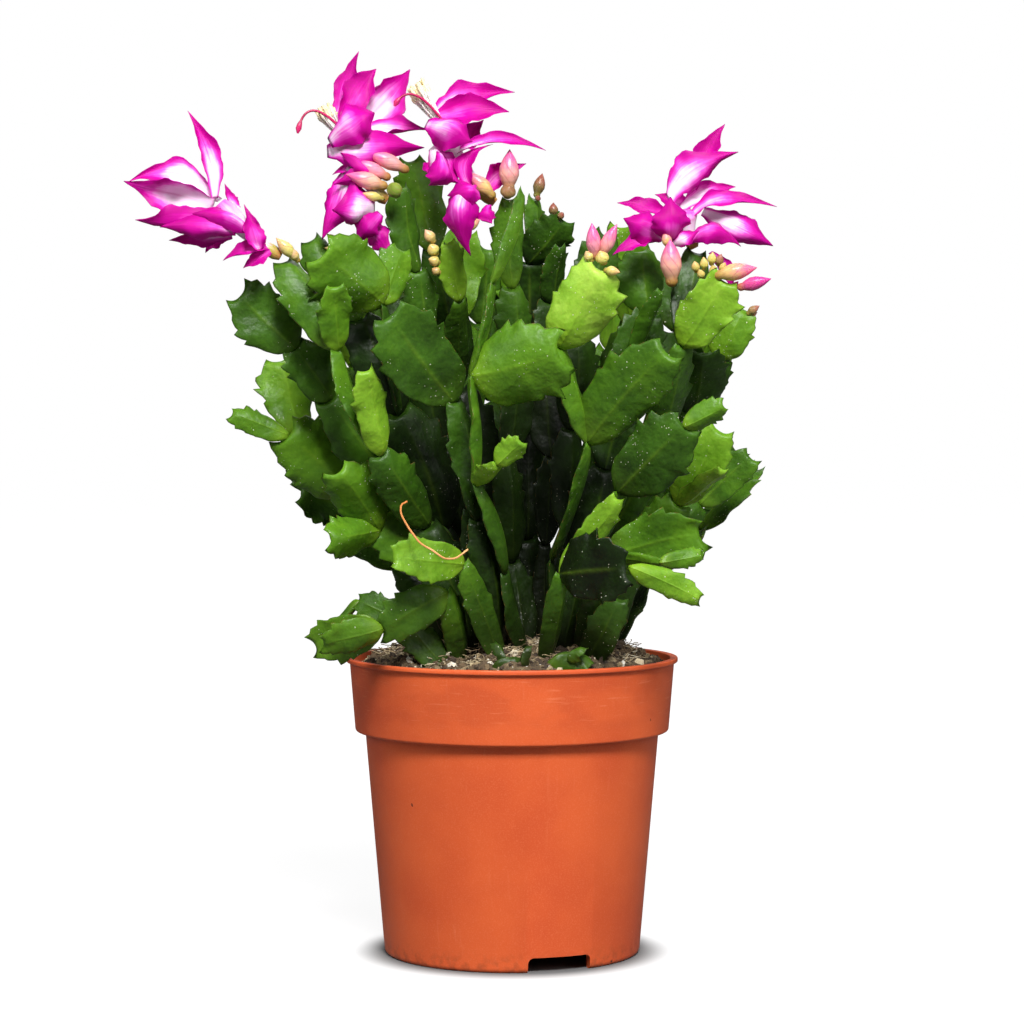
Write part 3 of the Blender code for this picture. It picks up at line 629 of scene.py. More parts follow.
def random_value(tree, low, high, seed):
    """An even draw for each point: a number, or an arrow between two arrows."""
    made = tree.nodes.new("FunctionNodeRandomValue")
    first, output = (0, 0) if isinstance(low, tuple) else (2, 1)
    made.data_type = "FLOAT_VECTOR" if isinstance(low, tuple) else "FLOAT"
    made.inputs[first].default_value, made.inputs[first + 1].default_value = low, high
    made.inputs["Seed"].default_value = seed
    return Field(tree, made.outputs[output])


def keep_attribute(geometry, label, value, domain="POINT"):
    settings = {"data_type": "FLOAT", "domain": domain}
    kind = "GeometryNodeStoreNamedAttribute"
    return make(geometry.tree, kind, 0, settings, Geometry=geometry, Name=label, Value=value)


def read_attributes(tree, kind, *labels):
    """What each point holds under each label, as geometry fields."""
    settings = {"data_type": kind}
    node = "GeometryNodeInputNamedAttribute"
    return [make(tree, node, "Attribute", settings, Name=label) for label in labels]


def joined(*parts):
    tree = parts[0].tree
    made = tree.nodes.new("GeometryNodeJoinGeometry")
    for part in parts:
        tree.links.new(part.socket, made.inputs[0])
    return Field(tree, made.outputs[0])


def strewn(tree, faces, count, margin, copies, seed, **turns):
    """Copies scattered over the top of the soil, kept a margin in mm away from its edge."""
    spot = make(tree, "GeometryNodeInputPosition")
    edge = inner_radius(SOIL_EDGE_Z)
    on_top = height_of(spot).maths("GREATER_THAN", (SOIL_EDGE_Z - 0.6) * MM)
    inside = reach_of(arrow_maths("MULTIPLY", spot, (1.0, 1.0, 0.0))).maths("LESS_THAN", (edge - margin) * MM)
    points = make(
        tree, "GeometryNodeDistributePointsOnFaces", "Points", Mesh=faces, Selection=on_top * inside,
        Density=count / (pi * (edge * MM) ** 2), Seed=seed,
    )
    return make(tree, "GeometryNodeInstanceOnPoints", Points=points, Instance=copies, **turns)


def moved(geometry, scale, detail, middle, reach):
    """The geometry pushed about by cloudy noise. The reach is a number, or an arrow of three numbers."""
    spot = make(geometry.tree, "GeometryNodeInputPosition")
    cloud = make(geometry.tree, "ShaderNodeTexNoise", "Color", Vector=spot, Scale=scale, Detail=detail)
    operation = "MULTIPLY" if isinstance(reach, tuple) else "SCALE"
    push = arrow_maths(operation, arrow_maths("SUBTRACT", cloud, middle), reach)
    return make(geometry.tree, "GeometryNodeSetPosition", Geometry=geometry, Offset=push)


def scatter_tree():
    """Crumbs of uneven size and thin bent fibres, strewn over the top of the soil."""
    inputs = (
        ("Crumbs", "NodeSocketInt", 100),
        ("Fibres", "NodeSocketInt", 10),
        ("Crumb Size", "NodeSocketFloat", 0.001),
        ("Fibre Length", "NodeSocketFloat", 0.01),
    )
    tree, given, leave = new_shape_tree("strewn_peat", inputs)
    soil, crumb_size = given["Geometry"], given["Crumb Size"]
    lump = make(tree, "GeometryNodeMeshIcoSphere", Radius=1.0, Subdivisions=1)
    swell = crumb_size * (0.3 + random_value(tree, 0.0, 1.0, 1) ** 6.0 * 1.9)
    crumbs = strewn(
        tree, soil, given["Crumbs"], 2.5, lump, 4,
        Rotation=random_value(tree, (0, 0, 0), (2 * pi, 2 * pi, 2 * pi), 3),
        Scale=arrow_maths("SCALE", random_value(tree, (0.5, 0.5, 0.35), (1.3, 1.0, 0.9), 2), swell),
    )
    crumbs = keep_attribute(crumbs, "tone", random_value(tree, 0.0, 1.0, 5) ** 2.2, "INSTANCE")
    crumbs = make(tree, "GeometryNodeRealizeInstances", Geometry=crumbs)
    crumbs = moved(crumbs, 900.0, 1.0, (0.5, 0.5, 0.5), crumb_size * 0.7)

    line = make(tree, "GeometryNodeCurvePrimitiveLine", End=(1.0, 0.0, 0.0))
    line = make(tree, "GeometryNodeResampleCurve", Curve=line, Count=8)
    length = given["Fibre Length"] * random_value(tree, 0.3, 1.0, 12)
    fibres = strewn(
        tree, soil, given["Fibres"], 9.0, line, 9,
        Rotation=random_value(tree, (0, -0.25, 0), (0, 0.12, 2 * pi), 11),
        Scale=arrow(tree, length, length, length),
    )
    fibres = keep_attribute(fibres, "tone", random_value(tree, 0.35, 0.95, 13), "INSTANCE")
    fibres = make(tree, "GeometryNodeRealizeInstances", Geometry=fibres)
    fibres = moved(fibres, 190.0, 2.0, (0.5, 0.5, 0.42), (0.010, 0.010, 0.007))
    ring = make(tree, "GeometryNodeCurvePrimitiveCircle", Radius=FIBRE_RADIUS * MM, Resolution=4)
    fibres = make(tree, "GeometryNodeCurveToMesh", Curve=fibres, Profile_Curve=ring, Fill_Caps=True)
    bits = joined(fibres, crumbs)
    feed(tree, leave, make(tree, "GeometryNodeSetMaterial", Geometry=bits, Material=crumb_skin()))
    return tree


def strew_soil(soil):
    loose = add_object("soil_crumbs", soil.data.copy())
    sizes = {"crumb_size": CRUMB_SIZE * MM, "fibre_length": FIBRE_LENGTH * MM}
    grow_nodes(loose, scatter_tree(), crumbs=CRUMB_COUNT, fibres=FIBRE_COUNT, **sizes)
    hand_over(loose)


strew_soil(make_soil())

# ---- how the plant has grown ----
# The plant is a bush of thirty-seven shoots. Each is a chain of flat pads, jointed tip to neck, that starts
# in the soil; some branch. Where shoots are crowded, their pads have pushed each other aside.

# Each chain is a start, which is a place on the soil or the number of one of the shoot's joints, and pads:
# (x, y, z of the tip in mm, width, where the face looks in degrees, how light the green is from 0 to 9; this
# is partly the pad's own green and partly painted light and shade, for how lit or shaded the pad stands).
SHOOTS = {
    "left_droop": [
        ((-19, -27), [(-25, -40, 133, 11, 50, 5), (-45, -50, 121, 14, 20, 5), (-65, -56, 117, 11, 60, 6)]),
        (2, [(-68, -40, 114, 14, 20, 6)]),
    ],
    "left_arch": [
        ((-26, -33), [(-36, -38, 122, 11, 30, 4), (-54, -30, 129, 9, 25, 4), (-64, -26, 117, 6, 80, 5)]),
    ],
    "left_front_low": [
        ((-5, -30), [(-18, -44, 143, 9, 25, 5), (-41, -64, 146, 13, 5, 7)]),
    ],
    "left_middle": [
        ((-13, -9), [(-21, -14, 143, 12, 40, 4), (-47, -26, 154, 18, 10, 5), (-61, -44, 176, 16, 0, 6)]),
        (2, [(-63, -46, 152, 13, 35, 6)]),
    ],
    "left_low": [
        ((-22, 3), [(-30, 4, 138, 13, 30, 3), (-58, -6, 167, 15, 15, 5), (-80, -14, 187, 22, 5, 6),
            (-99, -18, 195, 8, 50, 6)]),
    ],
    "left_long": [
        ((-12, 2), [(-22, -4, 135, 12, 45, 2), (-36, -13, 162, 14, 30, 3), (-64, -26, 200, 17, 12, 4),
            (-76, -32, 218, 15, 25, 4), (-95, -36, 236, 18, 8, 4)]),
    ],
    "left_flowering": [
        ((-13, -15), [(-29, -28, 155, 15, 20, 3), (-45, -46, 181, 14, 20, 4),
            (-61, -46, 217, 10, 70, 5), (-78, -44, 248, 15, 40, 5)]),
        (2, [(-51, -58, 210, 12, 30, 8)]),
        (3, [(-62, -54, 239, 11, 30, 6)]),
    ],
    "left_broad": [
        ((-3, 3), [(-25, -8, 153, 13, 30, 2), (-41, -20, 195, 22, 12, 3), (-44, -42, 233, 11, 75, 3),
            (-65, -56, 250, 23, 0, 6)]),
        (2, [(-54, -24, 228, 17, 18, 2), (-71, -20, 256, 13, 20, 4)]),
        (3, [(-39, -36, 252, 13, 25, 6)]),
    ],
    "left_blue": [
        ((-6, -21), [(-12, -34, 158, 12, 40, 3), (-20, -44, 199, 13, 50, 3), (-42, -60, 229, 22, 5, 4)]),
    ],
    "tall_left": [
        ((-4, 11), [(-15, 6, 148, 13, 20, 2), (-26, -2, 181, 14, 15, 2), (-31, -14, 219, 12, 20, 3),
            (-33, -22, 245, 12, 25, 4), (-39, -26, 274, 12, 45, 4)]),
    ],
    "tall_middle": [
        ((0, 19), [(-9, 18, 155, 13, 10, 2), (-20, 10, 203, 15, 10, 2), (-28, -4, 253, 15, 15, 3),
            (-36, -8, 285, 15, 25, 5)]),
        (2, [(-19, -14, 235, 9, 30, 5), (-23, -24, 255, 9, 20, 8)]),
    ],
    "middle_edge": [
        ((4, -22), [(-4, -32, 139, 10, 70, 4), (-13, -48, 171, 10, 80, 4), (-14, -56, 208, 9, 85, 5),
            (-7, -54, 240, 9, 80, 5), (2, -46, 272, 9, 75, 5)]),
        (3, [(16, -68, 216, 25, 10, 6)]),
        (2, [(-5, -60, 178, 8, 30, 7), (3, -64, 186, 8, 10, 7)]),
    ],
    "middle_upright": [
        ((4, -4), [(0, 0, 141, 11, 20, 3), (-2, -10, 179, 11, 25, 4), (1, -16, 210, 12, 30, 3),
            (0, -24, 239, 12, 20, 4), (-1, -28, 270, 10, 10, 5)]),
    ],
    "middle_back": [
        ((8, 25), [(6, 24, 148, 13, 15, 2), (6, 26, 188, 14, 20, 2), (5, 22, 221, 14, 10, 2),
            (6, 14, 250, 13, 20, 2), (19, 6, 264, 12, 25, 3)]),
        (4, [(9, 14, 273, 8, 60, 4)]),
    ],
    "woody_stem": [
        ((13, 8), [(12, 6, 147, 6, 20, 0), (14, 4, 179, 10, 20, 2), (12, 6, 210, 14, 15, 2),
            (14, 2, 235, 13, 30, 3), (16, -4, 255, 11, 40, 3)]),
    ],
    "right_edge": [
        ((11, -13), [(16, -26, 143, 10, 75, 4), (26, -42, 185, 11, 80, 5), (16, -52, 218, 11, 60, 5),
            (30, -60, 245, 19, 8, 9)]),
        (2, [(53, -64, 216, 20, 8, 5)]),
    ],
    "right_grey": [
        ((20, -1), [(18, -8, 153, 10, 50, 2), (21, -14, 189, 12, 20, 3), (23, -18, 221, 14, 15, 3),
            (34, -16, 258, 15, 15, 3)]),
    ],
    "right_upper": [
        ((20, -10), [(23, -14, 142, 12, 35, 2), (33, -22, 175, 14, 20, 2), (41, -28, 205, 15, 12, 3),
            (48, -23, 230, 15, 10, 3), (45, -22, 252, 15, 5, 4)]),
        (3, [(55, -45, 238, 8, 60, 4)]),
    ],
    "right_bright": [
        ((27, 7), [(30, 2, 141, 13, 20, 2), (47, -8, 178, 15, 15, 3), (56, -38, 219, 14, 30, 4),
            (73, -48, 241, 16, 10, 8)]),
        (3, [(62, -28, 251, 13, 20, 3)]),
    ],
    "right_high": [
        ((23, 17), [(33, 14, 141, 13, 25, 2), (53, 14, 174, 15, 10, 3), (66, 8, 195, 15, 15, 4),
            (74, -4, 215, 14, 15, 4), (83, -8, 232, 14, 5, 6)]),
        (3, [(68, -18, 217, 18, 8, 3)]),
    ],
    "right_middle": [
        ((17, -22), [(25, -28, 143, 11, 30, 3), (37, -42, 168, 12, 40, 5), (59, -58, 191, 20, 5, 4),
            (72, -60, 198, 8, 20, 6)]),
    ],
    "right_low": [
        ((31, -3), [(40, -10, 142, 12, 20, 3), (59, -24, 163, 15, 10, 5), (73, -34, 189, 15, 8, 7)]),
        (2, [(73, -44, 176, 8, 30, 8)]),
        (1, [(68, 2, 162, 14, 10, 4), (86, -2, 179, 13, 10, 5)]),
    ],
    "right_lowest": [
        ((27, -19), [(32, -38, 146, 12, 20, 3), (65, -44, 154, 19, 10, 5)]),
        (1, [(51, -54, 144, 5, 60, 6), (65, -50, 146, 6, 40, 6)]),
    ],
    "right_front_blue": [
        ((12, -31), [(17, -50, 140, 9, 40, 4), (40, -68, 143, 21, 8, 1)]),
        (1, [(36, -58, 166, 9, 20, 7)]),
        (2, [(64, -62, 132, 8, 15, 8)]),
    ],
    "right_sucker": [
        ((26, -29), [(37, -38, 130, 11, 10, 3)]),
    ],
    "front_stump": [
        ((-4, -12), [(-16, -26, 162, 15, 15, 2)]),
    ],
    "back_left_low": [
        ((-23, 14), [(-38, 22, 138, 13, 50, 3), (-62, 34, 160, 17, 50, 4), (-80, 42, 186, 18, 45, 5),
            (-88, 46, 214, 15, 40, 6)]),
        (2, [(-78, 22, 166, 16, 75, 4)]),
    ],
    "back_left_high": [
        ((-14, 19), [(-26, 32, 146, 13, 40, 3), (-42, 44, 182, 17, 40, 4), (-52, 52, 218, 17, 35, 5),
            (-58, 56, 250, 15, 30, 6)]),
        (3, [(-34, 60, 240, 14, 10, 4)]),
        (2, [(-58, 28, 204, 15, 85, 4)]),
    ],
    "back_left_tall": [
        ((-7, 27), [(-10, 36, 150, 13, 15, 3), (-18, 48, 190, 16, 10, 4), (-22, 54, 228, 17, 15, 5),
            (-18, 54, 262, 15, 5, 6)]),
        (2, [(-24, 30, 222, 14, 80, 4)]),
    ],
    "back_middle": [
        ((2, 33), [(8, 42, 148, 13, -10, 3), (12, 56, 184, 16, -5, 4), (8, 62, 220, 17, 0, 5),
            (4, 62, 252, 14, 10, 6)]),
        (2, [(-8, 70, 200, 15, 10, 4), (-12, 66, 229, 15, 5, 3), (-9, 62, 257, 13, 0, 4)]),
    ],
    "back_right_tall": [
        ((13, 30), [(22, 38, 146, 13, -30, 3), (34, 48, 182, 17, -30, 4), (38, 54, 218, 17, -20, 5),
            (40, 54, 252, 15, -25, 6)]),
        (2, [(42, 30, 212, 14, -80, 4)]),
    ],
    "back_right_high": [
        ((22, 26), [(40, 32, 140, 13, -45, 3), (58, 40, 168, 17, -50, 4), (70, 44, 200, 18, -45, 5),
            (76, 42, 232, 15, -40, 6)]),
        (2, [(84, 46, 182, 16, -35, 4)]),
        (3, [(64, 22, 228, 15, -85, 4)]),
        (3, [(62, 54, 226, 16, -20, 3), (66, 57, 252, 14, -10, 4)]),
    ],
    "back_right_low": [
        ((34, 12), [(50, 18, 134, 12, -60, 3), (70, 24, 152, 17, -70, 4), (88, 28, 176, 17, -65, 5)]),
    ],
    "back_left_droop": [
        ((-14, 30), [(-20, 50, 134, 14, 15, 3), (-30, 72, 144, 17, 20, 4), (-40, 84, 128, 14, 25, 5)]),
    ],
    "back_right_droop": [
        ((10, 40), [(20, 56, 132, 14, -15, 3), (28, 74, 146, 17, -15, 4), (34, 86, 168, 15, -10, 5)]),
    ],
    "inner_left": [
        ((-16, 12), [(-30, 18, 146, 12, 60, 3), (-50, 12, 178, 14, 60, 4), (-58, 6, 212, 15, 50, 5),
            (-54, 8, 246, 14, 45, 6)]),
    ],
    "inner_right": [
        ((16, 17), [(26, 22, 152, 12, -40, 3), (34, 20, 190, 14, -45, 4), (44, 12, 226, 15, -35, 5),
            (40, 6, 262, 13, -30, 6)]),
    ],
}
TONE_STEPS = 9.0
ROOT_LIFT = 1.6
PAD_SPACING = 5.2
SETTLE_ROUNDS, SETTLE_STEP = 60, 0.7
SAMPLE_SIDES = (-0.38, 0.0, 0.38)
SAMPLE_SHARES = np.repeat(np.linspace(0.08, 0.95, 7), len(SAMPLE_SIDES))


def unit(v):
    return v / max(np.linalg.norm(v), 1e-9)


class Pad:
    """One flat segment between two joints of the plant."""

    def __init__(self, shoot, chain, start, end, width, face, tone, last):
        self.shoot, self.chain, self.start, self.end = shoot, chain, start, end
        self.width, self.face, self.tone, self.last = width, radians(face), tone / TONE_STEPS, last

    def frame(self, joints):
        """Along the pad, across it and out of its face."""
        along = unit(joints[self.end] - joints[self.start])
        out = np.array([sin(self.face), -cos(self.face), 0.0])
        out = unit(out - along * out.dot(along))
        return along, np.cross(along, out), out


def lay_out():
    """All joints and pads, before they push each other aside, and the roots, which stay where they are."""
    joints, pads, roots, places = [], [], [], {}
    for shoot, chains in SHOOTS.items():
        places[shoot] = []
        for chain, (start, tips) in enumerate(chains):
            if isinstance(start, tuple):
                last = len(joints)
                joints.append((*start, soil_height(*start) + ROOT_LIFT))
                roots.append(last)
            else:
                last = places[shoot][start - 1]
            for i, (x, y, z, width, face, tone) in enumerate(tips):
                joints.append((x, y, z))
                pads.append(Pad(shoot, chain, last, len(joints) - 1, width, face, tone, i + 1 == len(tips)))
                last = len(joints) - 1
                places[shoot].append(last)
    return np.array(joints, float), pads, roots, places


def samples(pads, joints):
    """Points spread over each pad, and which way each pad's face looks."""
    points = np.empty((len(pads), len(SAMPLE_SHARES), 3))
    outs = np.empty((len(pads), 3))
    for i, pad in enumerate(pads):
        _, across, outs[i] = pad.frame(joints)
        start, end = joints[pad.start], joints[pad.end]
        for j, share in enumerate(SAMPLE_SHARES):
            offset = SAMPLE_SIDES[j % len(SAMPLE_SIDES)] * pad.width * min(1.0, 0.35 + 2.2 * share)
            points[i, j] = start + (end - start) * share + across * offset
    return points, outs


def settle(joints, pads, roots):
    """Crowded pads push each other aside, mostly along their faces' normals, until they clear."""
    joints = joints.copy()
    fixed = np.zeros(len(joints), bool)
    fixed[roots] = True
    first, second = np.triu_indices(len(pads), 1)
    ends = [{pad.start, pad.end} for pad in pads]
    apart = np.array([not ends[a] & ends[b] for a, b in zip(first, second)])
    first, second = first[apart], second[apart]
    for _ in range(SETTLE_ROUNDS):
        points, outs = samples(pads, joints)
        centres = points.mean(axis=1)
        reach = np.linalg.norm(points - centres[:, None], axis=2).max(axis=1)
        distances = np.linalg.norm(centres[first] - centres[second], axis=1)
        near = distances < reach[first] + reach[second] + PAD_SPACING
        moves = np.zeros_like(joints)
        weights = np.zeros(len(joints))
        for a, b in zip(first[near], second[near]):
            gaps = np.linalg.norm(points[a][:, None] - points[b][None], axis=2)
            i, j = np.unravel_index(gaps.argmin(), gaps.shape)
            if gaps[i, j] >= PAD_SPACING:
                continue
            sense = 1.0 if outs[a].dot(outs[b]) >= 0.0 else -1.0
            way = unit(outs[a] + sense * outs[b])
            way = unit(way * np.array([1.0, 1.0, 0.3]))
            side = (points[a, i] - points[b, j]).dot(way) + 0.3 * (centres[a] - centres[b]).dot(way)
            step = SETTLE_STEP if side >= 0.0 else -SETTLE_STEP
            push = way * step * (1.0 - 0.6 * gaps[i, j] / PAD_SPACING)
            for index, share, turn in ((a, SAMPLE_SHARES[i], 1.0), (b, SAMPLE_SHARES[j], -1.0)):
                pad = pads[index]
                moves[pad.end] += turn * push * share
                moves[pad.start] += turn * push * (1.0 - share)
                weights[pad.end] += share
                weights[pad.start] += 1.0 - share
        moves[fixed] = 0.0
        joints += moves / np.maximum(1.0, weights)[:, None]
    return joints


def joint_of(shoot, number):
    return joints[places_of[shoot][number - 1]]


joints, pads, roots, places_of = lay_out()
joints = settle(joints, pads, roots)

# ---- the pads ----
# A pad is a flat fleshy stem, about 3 mm thick along its rib and thin at the margin, widest past its middle,
# with a few forward teeth on each side and two horns at its tip, where the next pad or a bud sits. One tree
# of nodes grows them all.

PAD_COLUMNS, PAD_ROWS = 15, 25
OUTLINE = [
    (0.0, 0.15), (0.05, 0.36), (0.15, 0.70), (0.32, 0.94),
    (0.52, 1.0), (0.74, 0.92), (0.90, 0.69), (1.0, 0.44),
]
# Each row of teeth is (how many 24ths of the pad along, how far it stands out).
TEETH_STEPS = 24
TEETH_LEFT = [(0, 0), (10, 0), (12, 0.45), (13, 0), (16, 0.9), (17, 0), (20, 0.85), (21, 0.1), (24, 1.0)]
TEETH_RIGHT = [(0, 0), (13, 0), (15, 0.7), (16, 0.05), (19, 1.0), (20, 0.05), (22, 0.5), (23, 0.2), (24, 0.9)]
PAD_BELLY = 2.9
PAD_SIZES = {"tooth_size": 0.13, "rib": 0.35 * MM, "fray": 0.02}
ROOT_DEPTH, NECK_OVERLAP, TIP_OVERLAP = 5.0, 0.6, 0.4
BACK_DEPTH = 10.0
FRONT_SPREAD, BACK_SPREAD = 1.08, 1.28


def paints(*rows):
    """Colour stops from rows of (place, red, green, blue)."""
    return [(place, paint(*colour)) for place, *colour in rows]


PAD_GREENS = paints(
    (0.0, 12, 20, 4), (0.2, 25, 46, 8), (0.42, 58, 96, 19), (0.62, 86, 130, 24), (0.82, 122, 166, 40),
    (1.0, 166, 204, 74),
)
YOUNG_GREEN = paint(138, 176, 40)
MARGIN_GREEN = paint(36, 60, 12)
# The heart's dark green is painted shade for the inside of the bush.
HEART_SHADE_GREEN = paint(11, 17, 4)
# The low brown is partly old wood and partly painted shade near the soil.
LOW_WOOD_AND_SHADE_BROWN = paint(34, 34, 14)
TOOTH_BROWN = paint(120, 88, 44)
DUST_WHITE = paint(226, 226, 205)


def float_curve(value, points, sharp=False):
    made = value.tree.nodes.new("ShaderNodeFloatCurve")
    curve = made.mapping.curves[0]
    for x, y in points[1:-1]:
        curve.points.new(x, y)
    for point, (x, y) in zip(curve.points, points):
        point.location = (x, y)
        if sharp:
            point.handle_type = "VECTOR"
    made.mapping.update()
    feed(value.tree, made.inputs["Value"], value)
    return Field(value.tree, made.outputs[0])


def wavy(amount):
    return amount.maths("SINE")


def blade_tree(name, columns, rows, outline, teeth, material):
    """Grows one thick blade on each point. A point holds the blade's start, bend and end, its across and out
    arrows, width, belly, cup, ripple, twist, seed and hook. Two skins that meet at the margin close it."""
    sizes = [(label, "NodeSocketFloat", 0.0) for label in ("Tooth Size", "Rib", "Fray")]
    tree, given, leave = new_shape_tree(name, sizes)
    grid = {"Size_X": 2.0, "Size_Y": 1.0, "Vertices_X": columns, "Vertices_Y": rows}
    skin = make(tree, "GeometryNodeMeshGrid", "Mesh", **grid)
    spot = make(tree, "GeometryNodeInputPosition")
    x, y = (make(tree, "ShaderNodeSeparateXYZ", axis, Vector=spot) for axis in "XY")
    skin = keep_attribute(skin, "side_share", wavy(x * (pi / 2)))
    skin = keep_attribute(skin, "tip_share", y + 0.5)
    front = keep_attribute(skin, "skin", 1.0)
    back = keep_attribute(make(tree, "GeometryNodeFlipFaces", Mesh=skin), "skin", -1.0)
    grown = make(tree, "GeometryNodeInstanceOnPoints", Points=given["Geometry"], Instance=joined(back, front))
    blades = make(tree, "GeometryNodeRealizeInstances", Geometry=grown)

    u, t, skin_side = read_attributes(tree, "FLOAT", "side_share", "tip_share", "skin")
    width, belly, cup, ripple, twist, seed, hook = read_attributes(
        tree, "FLOAT", "width", "belly", "cup", "ripple", "twist", "seed", "hook"
    )
    start, bend, end, across, out = read_attributes(
        tree, "FLOAT_VECTOR", "start", "bend", "end", "across", "out"
    )
    edge, side, rest = u.size(), u.maths("SIGN"), 1.0 - t

    # Across the blade: a lopsided outline, a ragged margin, and teeth that lean forward.
    lopsided = wavy(t * 7.0 + seed * 60.0) * 0.05 + wavy(seed * 170.0) * 0.07
    breadth = float_curve(t, outline) * width
    half = breadth * 0.5 * (lopsided * u + 1.0)
    ragged = wavy(t * 19.0 + seed * 70.0 + side * 1.7) + wavy(t * 43.0 + seed * 31.0 - side) * 0.5
    sideways = u * half * (ragged * given["Fray"] * edge**4.0 + 1.0)
    forward = None
    if teeth:
        left, right = (float_curve(t, [(k / TEETH_STEPS, h) for k, h in row], sharp=True) for row in teeth)
        is_right = u.maths("GREATER_THAN", 0.0)
        uneven = (wavy(t * 9.7 + seed * 83.0 + is_right * 2.3) * 0.6 + 0.85).maths("MAXIMUM", 0.25)
        tooth = (right * is_right + left * (1.0 - is_right)) * uneven * edge**7.0
        tooth = tooth * width * given["Tooth Size"]
        sideways = sideways + tooth * side * (1.0 - t**12.0 * 0.7)
        forward = tooth * 0.5 + t**8.0 * (edge**2.5 * 0.09 - 0.025) * width

    # Out of its face: the cup, the ripples, the hooked tip, and the thickness of the two skins and rib.
    wave = wavy(t * 15.0 + seed * 40.0 + u * 0.8) * ripple * edge**3.0
    wave = wave + wavy(t * 31.0 + seed * 90.0 - u * 2.0) * ripple * 0.35 * edge**4.0
    wave = wave + wavy(t * 6.0 + seed * 50.0 + u * 2.6) * ripple * 0.9
    lift = (cup * (u * u - 0.3) + wave) * breadth * t.between(-0.1, 0.3)
    lift = lift + hook * t * t * t * width
    closing = 1.0 - (t * 2.0 - 1.0).size() ** 9.0
    thick = belly * 0.5 * (0.36 + (1.0 - u * u) * 0.64) * (1.0 - u**10.0).maths("MAXIMUM", 0.0) ** 0.5
    rib = given["Rib"] * (0.0 - (u / 0.16) ** 2.0).maths("EXPONENT")
    lift = lift + (thick + rib * (1.0 - t * 0.5)) * closing.maths("MAXIMUM", 0.0) ** 0.5 * skin_side

    # Both are turned about the rib and laid along the curve from start over bend to end.
    turn = (t - 0.15) * twist
    sine, cosine = wavy(turn), turn.maths("COSINE")
    place = arrow_maths("SCALE", start, rest * rest)
    steps = [(bend, t * rest * 2.0), (end, t * t)]
    steps += [(across, sideways * cosine - lift * sine), (out, sideways * sine + lift * cosine)]
    if forward:
        along = arrow_maths("NORMALIZE", arrow_maths("SUBTRACT", end, start), (0.0, 0.0, 0.0))
        steps.append((along, forward))
    for way, amount in steps:
        place = arrow_maths("ADD", place, arrow_maths("SCALE", way, amount))
    blades = make(tree, "GeometryNodeSetPosition", Geometry=blades, Position=place)
    blades = make(tree, "GeometryNodeMergeByDistance", Geometry=blades, Distance=0.00001)
    feed(tree, leave, make(tree, "GeometryNodeSetMaterial", Geometry=blades, Material=material))
    return tree


def grow_blades(name, blades, tree, **sizes):
    """One piece from a list of blades, each a dictionary of the values that the tree reads."""
    mesh = bpy.data.meshes.new(name)
    mesh.from_pydata([(0.0, 0.0, 0.0)] * len(blades), [], [])
    for label in blades[0]:
        is_arrow = np.ndim(blades[0][label]) == 1
        column = mesh.attributes.new(label, "FLOAT_VECTOR" if is_arrow else "FLOAT", "POINT")
        values = np.array([blade[label] for blade in blades], np.float32)
        column.data.foreach_set("vector" if is_arrow else "value", values.ravel())
    made = grow_nodes(add_object(name, mesh), tree, **sizes)
    made.data.shade_smooth()
    return made


def pad_skin():
    material, tree, shader = new_material(
        "cactus_skin", Specular_IOR_Level=0.24, Subsurface_Weight=0.08, Subsurface_Radius=(0.4, 1.0, 0.15),
        Subsurface_Scale=0.0015,
    )
    u, t, tone, seed = attributes(tree, "side_share", "tip_share", "tone", "seed")
    where = places(tree)
    patches = cloudy(where, 0.09)
    mottle = cloudy(where, 0.6, 5.0, 0.6)
    edge, height = u.size(), height_of(where)

    # Each pad has its own green, which also holds painted light and shade for how lit the pad stands, in soft
    # patches; the neck and the rib are younger, the margin is darker.
    depth = tone * 0.92 + (t - 0.5) * 0.10 + (seed - 0.5) * 0.10 - 0.03
    depth = depth + (patches - 0.5) * 0.42 + (mottle - 0.5) * 0.20
    green = shades(depth.clamped(), PAD_GREENS)
    neck = (1.0 - t.between(0.0, 0.38)) * tone.between(0.35, 0.8)
    green = mixed(neck * 0.6, green, YOUNG_GREEN)
    rib = (0.0 - (u / 0.07) ** 2.0).maths("EXPONENT") * (1.0 - t.between(0.6, 1.0))
    green = mixed(rib * 0.13, green, YOUNG_GREEN)
    green = mixed(edge.between(0.955, 1.0) * 0.45, green, MARGIN_GREEN)

    # Pads low down are darker and browner, partly as old woody stem and partly as painted shade near the
    # soil;
    # those in the heart of the bush are darkest, a painted shade where the pads around keep the light out.
    # Painted shade near the soil, with the brown of old wood, on the low pads.
    old = (1.0 - height.between(108.0, 140.0)) * (1.0 - tone * 0.8)
    green = mixed(old * 0.75, green, LOW_WOOD_AND_SHADE_BROWN)
    # Painted shade in the heart of the bush, where the pads around keep the light out.
    far = reach_of(arrow_maths("MULTIPLY", where, (1.0, 1.0, 0.0)))
    heart_shade = (1.0 - far.between(20.0, 58.0)) * (1.0 - height.between(200.0, 252.0))
    green = mixed(heart_shade * 0.8, green, HEART_SHADE_GREEN)
    tips = edge.between(0.985, 1.0) * cloudy(where, 0.7, 2.0).between(0.52, 0.6)
    green = mixed(tips * 0.8, green, TOOTH_BROWN)

    dusty = cloudy(where, 0.07, 2.0).between(0.46, 0.66)
    dust = use_group(tree, grains, Place=where, Spacing=2.0, Share=0.008 + dusty * 0.05, Size=0.13)
    fine_share = dusty * dusty * 0.26 + 0.015
    fine_dust = use_group(tree, grains, Place=where, Spacing=0.8, Share=fine_share, Size=0.24)
    specks = dust.maths("MAXIMUM", fine_dust)
    # The dust shows less where the heart is painted in shade.
    green = mixed(specks * (0.75 - heart_shade * 0.5), green, DUST_WHITE)
    rough = 0.34 + mottle * 0.16 + specks * 0.4
    hills = cloudy(where, 0.22, 2.0) * 2.5 + mottle * 0.5 + rib * 0.5 + specks * 0.5
    feed_all(tree, shader, Base_Color=green, Roughness=rough, Normal=relief(hills, 0.5, 0.0006))
    return material


